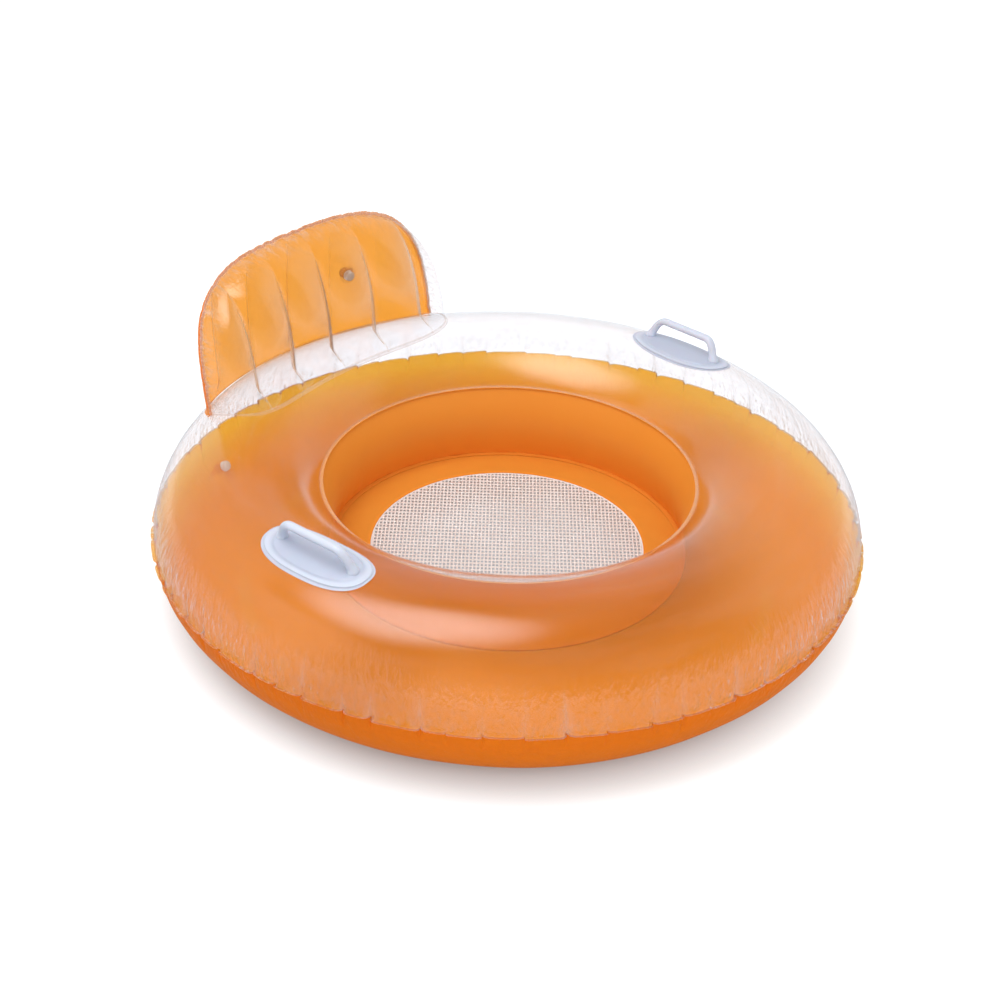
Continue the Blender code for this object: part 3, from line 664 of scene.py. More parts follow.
class Pleats:
    # creases that run up and down from the outer seam, the same ones for both films
    def __init__(self):
        dice = np.random.default_rng(ring["pleatSeed"])
        count = ring["pleats"]
        jitter = dice.uniform(-ring["pleatJitter"], ring["pleatJitter"], count)
        self.start = (np.arange(count) + jitter) * 2 * math.pi / count
        self.depth = between(ring["pleatDepth"], dice.random(count) ** 1.2)
        self.above = between(ring["pleatAbove"], dice.random(count))
        self.below = between(ring["pleatBelow"], dice.random(count))
        self.step = between(ring["pleatStep"], dice.random(count)) * dice.choice([-1, 1], count, p=[0.3, 0.7])
        self.lean = dice.uniform(-1, 1, count) * ring["pleatLean"]
        gap = np.roll(self.start, -1) - self.start
        gap[-1] += 2 * math.pi
        # each column of the film lies a share of the way from one pleat to the next
        self.near = np.repeat(np.arange(count), len(pleatShares))
        self.after = (self.near + 1) % count
        self.share = np.tile(pleatShares, count)
        self.angle = self.start[self.near] + gap[self.near] * self.share
        run = gap[self.near] * seamRadius
        self.left, self.right = self.share * run, (1 - self.share) * run

    def tips(self, distance, above):
        reach = self.above if above else self.below
        away = distance[:, None]
        return away, np.clip(1 - away / reach[self.near], 0, 1), np.clip(1 - away / reach[self.after], 0, 1)

    def shape(self, distance, above):
        # angles, dents and steps for each row's distance from the seam
        away, fadeLeft, fadeRight = self.tips(distance, above)
        fadeLeft, fadeRight = fadeLeft ** 1.35, fadeRight ** 1.35
        width = ring["pleatWidth"] * (1 + away * 9)
        dent = self.depth[self.near] * np.exp(-self.left / width) * fadeLeft
        dent = dent + self.depth[self.after] * np.exp(-self.right / width) * fadeRight
        saw = self.step[self.near] * np.exp(-self.left / ring["stepWidth"]) * fadeLeft
        saw = saw - self.step[self.after] * np.exp(-self.right / ring["stepWidth"]) * fadeRight
        lean = self.lean[self.near] * (1 - self.share) + self.lean[self.after] * self.share
        return self.angle + lean * np.minimum(away, 0.07) / seamRadius, dent, saw

    def strokes(self, distance, above):
        # painted highlight and shade along each pleat: how strongly each place takes it, broad at the seam and drawn
        # to a point
        shallow, deep = ring["pleatDepth"]
        strong = 0.25 + 0.75 * (self.depth - shallow) / (deep - shallow)
        _, tipLeft, tipRight = self.tips(distance, above)
        total = 0
        for side, which, tip in ((self.left, self.near, tipLeft), (self.right, self.after, tipRight)):
            total = total + strong[which] * tip ** 0.6 * np.exp(-side / (0.0016 + 0.0052 * tip))
        return np.clip(total, 0, 1) * (1 - ring["farPaintedStrokes"] * ease(-0.2, 0.6, np.sin(self.angle)))


pleats = Pleats()


def runLength(radius, height):
    return np.concatenate([[0.0], np.cumsum(np.hypot(np.diff(radius), np.diff(height)))])


def ripples(angle, distance, total):
    # slow waves of the film, none at its seams
    window = np.sin(np.pi * np.clip(distance / total, 0, 1)) ** 0.5
    waves = np.sin(5 * angle + 1.1) + 0.7 * np.sin(9 * angle + 2.0 + 14 * distance)
    waves = waves + 0.5 * np.sin(17 * angle - 22 * distance)
    return ring["ripple"] * window * waves / 2.2


def turnedRow(radius, angle, height):
    return np.stack(np.broadcast_arrays(radius * np.cos(angle), radius * np.sin(angle), height), -1)


def ringFilm(section, above, nearRows, endRows, flangeEnd):
    # points and marks of a film that starts at the outer seam and follows the given section
    radius, height, length = section
    far = length[-1] - np.array(endRows)[::-1]
    rows = np.concatenate([nearRows, np.linspace(nearRows[-1], far[0], 17)[1:-1], far])
    r, z = np.interp(rows, length, radius), np.interp(rows, length, height)
    slopeR, slopeZ = np.gradient(r), np.gradient(z)
    size = np.hypot(slopeR, slopeZ) * (1 if above else -1)
    outR, outZ = (slopeZ / size)[:, None], (-slopeR / size)[:, None]
    angle, dent, saw = pleats.shape(rows, above)
    push = ripples(angle, rows[:, None], rows[-1]) - dent + np.abs(saw) * 0.4
    seamLift = saw * np.clip(1 - rows[:, None] / 0.02, 0, 1)
    r, z = r[:, None] + outR * push, z[:, None] + outZ * push + seamLift
    first = turnedRow(r[:1] + ring["seamFlange"], angle[:1], z[:1])
    last = turnedRow(r[-1:] + flangeEnd, angle[-1:], z[-1:])
    points = np.concatenate([first, turnedRow(r, angle, z), last])
    foldLightAndShade = pleats.strokes(rows, above)
    # how far the fine creases of the outer seam reach
    away = np.concatenate([[0.0], rows, [length[-1]]])[:, None]
    crease = np.clip(1 - away / ring["creaseReach"], 0, 1) ** 1.3 + np.zeros(points.shape[1])
    weld = np.clip(1 - (length[-1] - away) / 0.0022, 0, 1) + np.zeros(points.shape[1])
    return points, {"foldLightAndShade": np.concatenate([foldLightAndShade[:1], foldLightAndShade, foldLightAndShade[-1:]]), "crease": crease, "weld": weld}


def topSheet():
    angles = np.linspace(math.asin(filmLift / ring["crestRise"]), angleAtRadius(ring["rimSeam"]), 1500)
    radius, height = tubePoint(angles)
    length = runLength(radius, height)
    height = height + filmLift * ease(0.9, 1.0, length / length[-1])
    section = radius, height, length
    points, marks = ringFilm(section, True, seamRows, [0, 0.0015, 0.004, 0.009], -ring["seamFlange"])
    mesh = filmShell("ringTopSheet", points, True, 1, ring["film"], marks)
    return newPiece("ringTopSheet", mesh, ringClear, ["ring_top_sheet"])


def bottomSheet():
    restOuter = -math.acos(ring["restHalf"] / ring["outerHalf"])
    restInner, end = -math.acos(-ring["restHalf"] / ring["innerHalf"]), -angleAtRadius(ring["floorSeam"])
    outerAngles = np.linspace(-math.asin(filmLift / ring["bellyDrop"]), restOuter, 600)
    angles = np.concatenate([outerAngles, np.linspace(restInner, end, 500)])
    radius, height = tubePoint(angles)
    under = ring["floorHeight"] - ring["film"] * 1.5 - ring["gap"]
    height = height + (under - height[-1]) * np.clip((restInner - angles) / (restInner - end), 0, 1) ** 4
    flat = len(outerAngles)
    height[[flat - 1, flat]] = 0.0             # the flat runs between these two
    section = radius, height, runLength(radius, height)
    points, marks = ringFilm(section, False, seamRows[:10], [0, 0.003, 0.008], -ring["floorFlange"])
    points[..., 2] = np.maximum(points[..., 2], 0.0)
    del marks["weld"]
    mesh = filmShell("ringBottomSheet", points, True, -1, ring["film"], marks)
    return newPiece("ringBottomSheet", mesh, ringOrange, ["ring_bottom_sheet"])


def innerWall():
    over = ring["floorHeight"] + ring["film"] * 1.5 + ring["gap"]
    underRim = float(tubePoint(np.array(angleAtRadius(ring["rimSeam"])))[1]) - filmLift
    share = np.linspace(0, 1, 22)
    chord = ring["floorSeam"] + (ring["rimSeam"] - ring["floorSeam"]) * share
    radius = chord - (chord - ring["inmost"]) * np.sin(np.pi * share)
    flanges = [[ring["floorSeam"] - ring["floorFlange"]], [ring["rimSeam"] - ring["seamFlange"]]]
    radius = np.concatenate([flanges[0], radius, flanges[1]])
    height = np.concatenate([[over], over + (underRim - over) * share, [underRim]])
    angle = np.linspace(0, 2 * math.pi, ring["wallColumns"], endpoint=False)[None]
    level = np.concatenate([[0.0], share, [1.0]])[:, None]
    phases = np.random.default_rng(ring["puckerSeed"]).uniform(0, 6, 3)
    pucker = sum(
        depth * np.cos(count * angle + phase) * np.exp(-level * 9)
        for (depth, count), phase in zip(ring["pucker"], phases)
    )
    pucker = pucker * np.where((level > 0) & (level < 1), 1.0, 0.0)
    r = radius[:, None] + pucker + 0.0005 * np.sin(7 * angle + 2) * np.sin(np.pi * level)
    weld = 0.12 * np.clip(1 - level * 9, 0, 1) + np.zeros(ring["wallColumns"])
    points = turnedRow(r, angle, height[:, None])
    mesh = filmShell("ringInnerWall", points, True, -1, -ring["film"], {"weld": weld}, (1.0, 0.0))
    return newPiece("ringInnerWall", mesh, wallOrange, ["ring_inner_wall"])


ringTopPiece, ringBottomPiece, ringWallPiece = topSheet(), bottomSheet(), innerWall()
print("ring made")


# Geometry Nodes helpers

socketKinds = {int: "Int", float: "Float", type(None): "Material"}


def newTree(name, inputs):
    # inputs: the first value of each named input after the geometry, None for the material
    tree = bpy.data.node_groups.new(name, "GeometryNodeTree")
    tree.interface.new_socket("Geometry", in_out="OUTPUT", socket_type="NodeSocketGeometry")
    tree.interface.new_socket("Geometry", in_out="INPUT", socket_type="NodeSocketGeometry")
    for inputName, value in inputs.items():
        kind = "NodeSocket" + socketKinds[type(value)]
        socket = tree.interface.new_socket(inputName, in_out="INPUT", socket_type=kind)
        if value is not None:
            socket.default_value = value
    make = Maker(tree)
    return tree, make, make.add("NodeGroupInput")


def closeTree(make, shape, material):
    shape = make.add("GeometryNodeRealizeInstances", None, {"Geometry": shape})
    shape = make.add("GeometryNodeSetMaterial", None, {"Geometry": shape, "Material": material})
    make.add("NodeGroupOutput", None, {"Geometry": shape})


def tapeAlong(make, path, width, thickness):
    # a flat tape along the edges of a mesh or along curves
    path = make.add("GeometryNodeSetCurveNormal", {"mode": "Z_UP"}, {"Curve": path})
    section = make.add("GeometryNodeCurvePrimitiveQuadrilateral", None, {"Width": width, "Height": thickness})
    return make.add("GeometryNodeCurveToMesh", None, {"Curve": path, "Profile Curve": section, "Fill Caps": True})


def grown(name, source, tree, values):
    # runs the tree on a mesh and gives the plain mesh that it makes
    holder = linked(name, source)
    modifier = holder.modifiers.new("make", "NODES")
    modifier.node_group = tree
    keys = {item.name: item.identifier for item in tree.interface.items_tree if item.in_out == "INPUT"}
    for inputName, value in values.items():
        modifier[keys[inputName]] = value
    mesh = evaluated(holder, name)
    bpy.data.objects.remove(holder)
    return mesh


# Seat: orange floor ring, and a white net in a hem

seat = {
    "netRadius": 0.2105,       # inner edge of the seat floor
    "hemShow": 0.002,
    "hem": 0.008,
    "netThickness": 0.0012,
    "pitchAcross": 0.00575,
    "pitchAlong": 0.0092,
    "turn": -50.0,             # degrees that the net's rows are turned from +X
    "strandShare": 0.42,
    "strandThickness": 0.0004,
    "weave": 0.00022,
    "wrinkle": 0.0009,
    "columns": 320,
}


def netTree():
    tree, make, given = newTree("wovenNet", {
        "Pitch Across": 0.0057, "Pitch Along": 0.0092, "Rows Across": 75, "Rows Along": 47, "Reach": 0.213,
        "Strand Share": 0.5, "Thickness": 0.0004, "Weave": 0.0002, "Height": 0.0, "Turn": 0.0, "Material": None,
    })
    across, along = given.also("Pitch Across"), given.also("Pitch Along")
    countX, countY = given.also("Rows Across"), given.also("Rows Along")
    sets = []
    for lengthwise in (True, False):
        # strands that run along Y or X, with two samples for each row they cross
        plate = make.add("GeometryNodeMeshGrid", None, {
            "Size X": across * (countX - 1), "Size Y": along * (countY - 1),
            "Vertices X": countX if lengthwise else countX * 2 - 1,
            "Vertices Y": countY * 2 - 1 if lengthwise else countY,
        })
        ends = make.add("GeometryNodeInputMeshEdgeVertices", None, None, "Position 1")
        run = make.add("ShaderNodeVectorMath", {"operation": "SUBTRACT"}, {0: ends, 1: ends.also("Position 2")})
        wrong = make.sum("ABSOLUTE", make.split(run)[0 if lengthwise else 1])
        cross = make.sum("GREATER_THAN", wrong, 0.0001)
        lines = make.add("GeometryNodeDeleteGeometry", {"domain": "EDGE"}, {"Geometry": plate, "Selection": cross})
        place = make.add("GeometryNodeInputPosition")
        outside = make.sum("GREATER_THAN", make.length(place), given.also("Reach"))
        lines = make.add("GeometryNodeDeleteGeometry", {"domain": "POINT"}, {"Geometry": lines, "Selection": outside})
        strands = make.add("GeometryNodeMeshToCurve", None, {"Mesh": lines})
        x, y, _ = make.split(place)
        phase = (x / across + y / along) * math.pi
        wave = make.sum("COSINE", phase) * given.also("Weave") * (1.0 if lengthwise else -1.0)
        strands = make.add("GeometryNodeSetPosition", None, {"Geometry": strands, "Offset": make.join(Z=wave)})
        width = (across if lengthwise else along) * given.also("Strand Share")
        sets.append(tapeAlong(make, strands, width, given.also("Thickness")))
    net = make.add("GeometryNodeJoinGeometry", None, {"Geometry": sets[0]})
    make.tree.links.new(sets[1].socket, net.socket.node.inputs["Geometry"])
    lift, turn = make.join(Z=given.also("Height")), make.join(Z=given.also("Turn"))
    turned = make.add("GeometryNodeTransform", None, {"Geometry": net, "Translation": lift, "Rotation": turn})
    closeTree(make, turned, given.also("Material"))
    return tree


def tapeTree():
    tree, make, given = newTree("tapeAlongPath", {"Width": 0.005, "Thickness": 0.001, "Material": None})
    path = make.add("GeometryNodeMeshToCurve", None, {"Mesh": given})
    closeTree(make, tapeAlong(make, path, given.also("Width"), given.also("Thickness")), given.also("Material"))
    return tree


def buildSeat():
    film, gap = ring["film"], ring["gap"]
    inner, outer = seat["netRadius"], ring["floorSeam"] - gap
    angle = np.linspace(0, 2 * math.pi, seat["columns"], endpoint=False)[None]
    radius = np.linspace(inner, outer, 18)[:, None]
    window = ease(inner + 0.009, inner + 0.025, radius) * (1 - ease(outer - 0.024, outer - 0.010, radius))
    waves = 0.6 * np.sin(19 * angle + 90 * radius) + 0.5 * np.sin(31 * angle - 60 * radius + 1)
    waves += 0.5 * np.sin(7 * angle)
    points = turnedRow(radius, angle, ring["floorHeight"] + film / 2 + seat["wrinkle"] * window * waves)
    weld = 0.3 * np.clip(1 - (radius - inner) / 0.006, 0, 1) + np.zeros(seat["columns"])
    mesh = filmShell("seatFloorRing", points, True, -1, film, {"weld": weld}, (0.0, 0.0))
    floorRing = newPiece("seatFloorRing", mesh, wallOrange, ["seat_floor_ring"])

    middle = ring["floorHeight"] - film / 2 - gap - seat["netThickness"] / 2
    hemInner = seat["netRadius"] - seat["hemShow"]
    reach = hemInner + seat["hem"] - 0.0012
    mesh = grown("seatNet", bpy.data.meshes.new("netStart"), netTree(), {
        "Pitch Across": seat["pitchAcross"], "Pitch Along": seat["pitchAlong"],
        "Rows Across": int(reach / seat["pitchAcross"]) * 2 + 3, "Rows Along": int(reach / seat["pitchAlong"]) * 2 + 3,
        "Reach": reach, "Strand Share": seat["strandShare"], "Thickness": seat["strandThickness"],
        "Weave": seat["weave"], "Height": middle, "Turn": math.radians(seat["turn"]), "Material": netWhite,
    })
    net = newPiece("seatNet", mesh, netWhite, ["seat_net"])
    turns = np.linspace(0, 2 * math.pi, 180, endpoint=False)
    hemMiddle = hemInner + seat["hem"] / 2
    path = bpy.data.meshes.new("hemPath")
    edges = [(i, (i + 1) % len(turns)) for i in range(len(turns))]
    path.from_pydata([(hemMiddle * math.cos(turn), hemMiddle * math.sin(turn), middle) for turn in turns], edges, [])
    mesh = grown("seatNetHem", path, tapeTree(), {
        "Width": seat["hem"], "Thickness": seat["netThickness"], "Material": netWhite,
    })
    hem = newPiece("seatNetHem", mesh, netWhite, [])


buildSeat()
print("seat made")


# Backrest pillow: s runs across it, t up it, from the foot of its middle

rest = {
    "seamPlace": 0.449,        # ring's centre to the pillow's outline seam
    "seamFoot": 0.2365,
    "halfWidth": 0.243,
    "height": 0.202,
    "lean": 1.7,
    "outlinePower": 3.67,
    "footSag": 0.059,
    "topSag": 0.031,
    "frontDepth": 0.101,
    "backDepth": 0.038,
    "sidePower": 6.0,
    "crownPower": 2.6,
    "flange": 0.005,
    "seamGap": 0.0008,
    "seatGap": 0.0011,
    "ribs": 5,
    "ribPitch": 0.090,
    "ribStart": 0.010,
    "ribEnd": 0.180,
    "ribFlange": 0.0022,
    "ribWave": 0.0022,
    "ribLine": 1.75,           # milk on a rib's front weld, against the rest of its front edge
    "frontPinch": 0.031,
    "backPinch": 0.012,
    "pinchFade": 0.030,
    "rows": 120,
    "seed": 23,
    "fineSpacing": 0.0072,     # small puckers round the outline, and the deep ones
    "fineDepth": (0.0005, 0.0016),
    "fineReach": (0.008, 0.022),
    "deepSpacing": 0.027,
    "deepDepth": (0.0010, 0.0042),
    "deepReach": (0.018, 0.046),
    "creaseReach": 0.060,
    "footMilk": (1.0, 0.3),    # how milky the foot welds of the front and the back sheet are
}
ribPlaces = [(i - (rest["ribs"] - 1) / 2) * rest["ribPitch"] for i in range(rest["ribs"])]
pillowLift = ring["film"] + rest["seamGap"] / 2
footLift = rest["seatGap"] + ring["film"]


def seamDepth(s, t):
    sag = rest["footSag"] + (rest["topSag"] - rest["footSag"]) * t / rest["height"]
    return rest["seamPlace"] + t * math.sin(math.radians(rest["lean"])) - sag * (s / rest["halfWidth"]) ** 2


def fullness(s, t):
    across, up = np.abs(s) / rest["halfWidth"], np.maximum(t, 0) / rest["height"]
    reach = (across ** rest["outlinePower"] + up ** rest["outlinePower"]) ** (1 / rest["outlinePower"])
    upShare = up * up / np.maximum(across * across + up * up, 1e-9)
    power = rest["sidePower"] + (rest["crownPower"] - rest["sidePower"]) * upShare
    return np.sqrt(np.clip(1 - reach ** power, 0, 1))


def pinch(s, t):
    # the film stands in round tubes between the ribs: 1 over a rib, 0 halfway to the next one
    half = rest["ribPitch"] / 2
    near = np.min([np.abs(s - place) for place in ribPlaces], axis=0) / half
    arc = 1 - np.sqrt(1 - (1 - np.clip(near, 0, 1)) ** 2)
    top = 1 - 0.55 * ease(rest["ribEnd"] - 0.03, rest["height"], t)
    return ease(0.0, rest["pinchFade"], t) * top * (0.8 * arc + 0.2 * np.exp(-((near * half) / 0.018) ** 2))


def pillowPlace(s, t, side, depth, drawn, inset=0.0):
    # a point of the sheet on this side, which the ribs draw in by the given depth
    bulge = fullness(s, t) * (depth - drawn) + pillowLift - inset
    footY = seamDepth(s, 0.0) + side * fullness(s, np.zeros_like(s)) * depth
    settle = np.clip(1 - t / rest["height"], 0, 1) ** 2
    rise = (ringTop(s, footY) + footLift - rest["seamFoot"]) * settle
    z = rest["seamFoot"] + t * math.cos(math.radians(rest["lean"])) + rise
    return np.stack([s, seamDepth(s, t) + side * bulge, z], -1)


def pillowPoint(s, t, side, inset=0.0):
    name = "front" if side < 0 else "back"
    return pillowPlace(s, t, side, rest[name + "Depth"], rest[name + "Pinch"] * pinch(s, t), inset)


class Outline:
    # length along the pillow's outline and the puckers on it
    def __init__(self):
        dice = np.random.default_rng(rest["seed"])
        self.turn = np.linspace(0, math.pi, 3000)
        across, up = np.cos(self.turn), np.sin(self.turn)
        power = rest["outlinePower"]
        self.size = (np.abs(across / rest["halfWidth"]) ** power + (up / rest["height"]) ** power) ** (-1 / power)
        self.length = runLength(across * self.size, up * self.size)
        self.fine = self.places(dice, rest["fineSpacing"], 0.22)
        self.deep = self.places(dice, rest["deepSpacing"], 0.3)
        self.fineDepth = between(rest["fineDepth"], dice.random(len(self.fine)) ** 1.3)
        self.fineReach = between(rest["fineReach"], dice.random(len(self.fine)))
        self.fineWave = dice.uniform(-1, 1, len(self.fine))
        self.deepDepth = between(rest["deepDepth"], dice.random(len(self.deep)) ** 1.2)
        self.deepReach = between(rest["deepReach"], dice.random(len(self.deep)))
        leftShare = ease(0.30, 0.75, self.deep / self.length[-1])      # deeper towards the -X end
        self.deepDepth *= 0.45 + 0.55 * leftShare

    def places(self, dice, spacing, jitter):
        count = int(self.length[-1] / spacing)
        return (np.arange(count) + 0.5 + dice.uniform(-jitter, jitter, count)) * self.length[-1] / count

    def along(self, s, t):
        turn = np.arctan2(np.maximum(t, 0), s)
        return np.interp(turn, self.turn, self.length), np.interp(turn, self.turn, self.size)

    def shape(self, s, t, depth):
        # place along the seam, dents, seam waves, distance from the seam, and how strongly the puckers take painted
        # highlight strokes
        along, size = self.along(s, t)
        flat = np.clip(size - np.hypot(s, np.maximum(t, 0)), 0, None)
        away = np.hypot(fullness(s, t) * depth, flat)
        dent, wave, puckerHighlight = np.zeros_like(away), np.zeros_like(away), np.zeros_like(away)
        for place, low, reach, sway in zip(self.fine, self.fineDepth, self.fineReach, self.fineWave):
            off, tip = np.abs(along - place), np.clip(1 - away / reach, 0, 1)
            dent += low * np.exp(-off / 0.0017) * tip
            puckerHighlight += 0.35 * low / rest["fineDepth"][1] * np.exp(-off / 0.0020) * tip
            wave += 0.0007 * sway * np.exp(-(off / 0.0032) ** 2)
        for place, low, reach in zip(self.deep, self.deepDepth, self.deepReach):
            off, tip = np.abs(along - place), np.clip(1 - away / reach, 0, 1)
            dent += low * np.exp(-off / 0.0034) * tip ** 1.2
            puckerHighlight += low / rest["deepDepth"][1] * tip ** 0.7 * np.exp(-off / (0.0012 + 0.0040 * tip))
        wave *= np.clip(1 - away / 0.012, 0, 1)
        return along, dent, wave, away, np.clip(puckerHighlight, 0, 1)


outline = Outline()


def pillowGrid():
    # rows that follow the outline, and columns that lie close together at its ends
    endWidth = rest["halfWidth"] - ribPlaces[-1]
    ends = endWidth * np.sin(np.pi / 2 * np.linspace(0, 1, 42))
    middle = np.linspace(ribPlaces[0], ribPlaces[-1], 201)
    places = np.concatenate([ribPlaces[0] - ends[:0:-1], middle, ribPlaces[-1] + ends[1:]])
    up = np.sin(np.pi / 2 * np.linspace(0, 1, rest["rows"]))
    across, up = np.meshgrid(places / rest["halfWidth"], up)
    largest = np.maximum(np.abs(across), up)
    power = rest["outlinePower"]
    reach = np.maximum((np.abs(across) ** power + up ** power) ** (1 / power), 1e-9)
    return across * largest / reach * rest["halfWidth"], up * largest / reach * rest["height"]


def pillowSheet(name, side, material, node):
    s, t = (np.pad(part, ((0, 1), (1, 1)), "edge") for part in pillowGrid())     # the outermost ones make the flange
    edge = np.zeros(s.shape, bool)
    edge[-1], edge[:, 0], edge[:, -1] = True, True, True
    depth = rest["frontDepth"] if side < 0 else rest["backDepth"]
    along, dent, wave, away, puckerHighlight = outline.shape(s, t, depth)
    outS, outT = s / rest["halfWidth"] ** 2, t / rest["height"] ** 2
    size = np.maximum(np.hypot(outS, outT), 1e-9)
    outS, outT = outS / size, outT / size
    points = pillowPoint(s, t, side)
    # near the seam the film stands square to the pillow, so its dents go inwards across it
    steep = np.clip(1 - away / 0.03, 0, 1)[..., None]
    inward = np.stack([-outS, np.zeros_like(s), -outT], -1)
    flat = np.zeros_like(points)
    flat[:-1, 1:-1] = gridNormals(points[:-1, 1:-1], False, side)
    points += (inward * steep + flat * (1 - steep)) * dent[..., None]
    points[..., 1] += wave
    points[edge, 0] += (outS * rest["flange"])[edge]
    points[edge, 2] += (outT * rest["flange"])[edge]
    footRows = []
    for step in (1.0, 0.55):
        row = points[0].copy()
        row[:, 1] += side * rest["flange"] * step
        row[:, 2] = ringTop(row[:, 0], row[:, 1]) + footLift
        footRows.append(row)
    points = np.concatenate([np.stack(footRows), points])

    weld = np.clip(1 - away / 0.0028, 0, 1)
    weld[edge] = 0.8
    footWeld = np.clip(1 - np.abs(t[0]) / 0.001, 0, 1)[None]
    weld = np.concatenate([footWeld, footWeld * 0.2, weld])
    weld[2] = np.maximum(weld[2], 0.9)
    weld[:3] *= rest["footMilk"][0 if side < 0 else 1]
    lines = sum(np.exp(-((s - place) / 0.0012) ** 2) for place in ribPlaces)
    lines = lines * (1 - ease(rest["ribEnd"] - 0.03, rest["ribEnd"], t))
    crease = np.clip(1 - away / rest["creaseReach"], 0, 1) ** 1.5
    foot = np.zeros((2, s.shape[1]))
    # the puckers' strokes are painted highlight, carried in the same mark as the ring's pleats
    marks = {"foldLightAndShade": puckerHighlight, "ribLine": lines, "away": away, "crease": crease}
    marks = {key: np.concatenate([foot, mark]) for key, mark in marks.items()}
    marks.update(weld=weld, along=np.concatenate([along[:1], along[:1], along]))
    mesh = filmShell(name, points, False, -side, ring["film"], marks)
    piece = newPiece(name, mesh, material, [node])
    return piece


def buildRib(name, place, node):
    t = np.linspace(rest["ribStart"], rest["ribEnd"], 44)
    s = np.full_like(t, place)
    inset = ring["film"] + 0.0005
    front, back = pillowPoint(s, t, -1, inset), pillowPoint(s, t, 1, inset)
    shares = np.concatenate([[0.0, 0.012], np.linspace(0.03, 1, 11)])
    web = front[:, None] + (back - front)[:, None] * shares[None, :, None]
    web[..., 0] += rest["ribWave"] * np.sin(np.pi * shares)[None] * np.sin(t * 55 + place * 31)[:, None]
    flanges = [pillowPoint(s - rest["ribFlange"], t, side, inset)[:, None] for side in (-1, 1)]
    points = np.concatenate([flanges[0], web, flanges[1]], 1)
    # milkier towards the front, and clear towards the back, the foot and the top
    haze = np.concatenate([[rest["ribLine"]] * 2, (1 - shares[1:]) ** 1.6, [0.0]])
    weld = np.repeat(haze[None], len(t), 0) * (1 - 0.7 * ease(rest["ribEnd"] - 0.06, rest["ribEnd"], t))[:, None]
    weld[:, 3:] *= ease(0.025, 0.075, t)[:, None]
    mesh = filmShell(name, points, False, 1, ring["film"] * 0.6, {"weld": weld})
    piece = newPiece(name, mesh, ribClear, [node])


frontSheet = pillowSheet("backrestFrontSheet", -1, restClear, "backrest_front_sheet")
backSheet = pillowSheet("backrestBackSheet", 1, restOrange, "backrest_back_sheet")
for ribNumber, ribPlace in enumerate(ribPlaces, 1):
    buildRib("backrestRib%d" % ribNumber, ribPlace, "backrest_rib_%d" % ribNumber)
print("backrest made")


# Grab handles: a runs along the handle, b across it, away from the ring's centre

handle = {
    "setback": 0.413,          # ring's centre to the handle's
    "turn": 92.0,              # degrees round the ring from the backrest
    "length": 0.176,
    "width": 0.080,
    "ovalPower": 2.4,
    "border": 0.007,
    "borderThickness": 0.0012,
    "baseThickness": 0.0028,
    "patchMargin": 0.004,
    "feet": 0.128,
    "bar": 0.080,
    "rise": 0.029,
    "lean": 0.008,
    "thickness": 0.0125,
    "legShare": 0.40,
    "footSpread": 0.55,
    "columns": 144,
}


def handleFrame(side):
    turn = math.radians(handle["turn"])
    out = np.array([side * math.sin(turn), math.cos(turn), 0.0])
    return out * handle["setback"], np.array([-out[1], out[0], 0.0]), out


def ovalPlate(name, side, margin, lift, thicknessAt):
    # an oval plate that lies on the ring: a polar grid, closed round its edge and at its middle
    centre, along, out = handleFrame(side)
    shares = np.concatenate([np.linspace(0.04, 0.74, 10), np.linspace(0.77, 1.0, 18)])
    turn = np.linspace(0, 2 * math.pi, handle["columns"], endpoint=False)
    power = handle["ovalPower"]
    size = (np.abs(np.cos(turn)) ** power + np.abs(np.sin(turn)) ** power) ** (-1 / power)
    a = shares[:, None] * size * np.cos(turn) * (handle["length"] / 2 + margin)
    b = shares[:, None] * size * np.sin(turn) * (handle["width"] / 2 + margin)
    low = centre + a[..., None] * along + b[..., None] * out
    middle = centre.copy()
    for spots in (low, middle):
        spots[..., 2] = ringTop(spots[..., 0], spots[..., 1]) + lift
    high, top = low.copy(), middle.copy()
    high[..., 2] += thicknessAt(shares)[:, None]
    top[2] += thicknessAt(np.zeros(1))[0]
    rows, columns = a.shape
    count = rows * columns
    edge = count - columns
    faces = [list(face) for face in gridFaces(rows, columns, True)]
    faces += [list(face[::-1]) for face in gridFaces(rows, columns, True, count)]
    for i in range(columns):
        j = (i + 1) % columns
        faces.append([edge + i, edge + j, edge + j + count, edge + i + count])
        faces.append([2 * count, j, i])
        faces.append([2 * count + 1, count + i, count + j])
    points = np.concatenate([low.reshape(-1, 3), high.reshape(-1, 3), middle[None], top[None]])
    return facedOut(meshFrom(name, points, faces, None, 60.0))


def baseThickness(shares):
    step = 1 - handle["border"] * 2 / handle["width"]
    rise = handle["baseThickness"] - handle["borderThickness"]
    rounded = np.sqrt(np.clip(1 - np.clip((shares - 0.985) / 0.015, 0, 1) ** 2, 0.12, 1))
    return (handle["borderThickness"] + rise * (1 - ease(step - 0.03, step + 0.03, shares))) * rounded


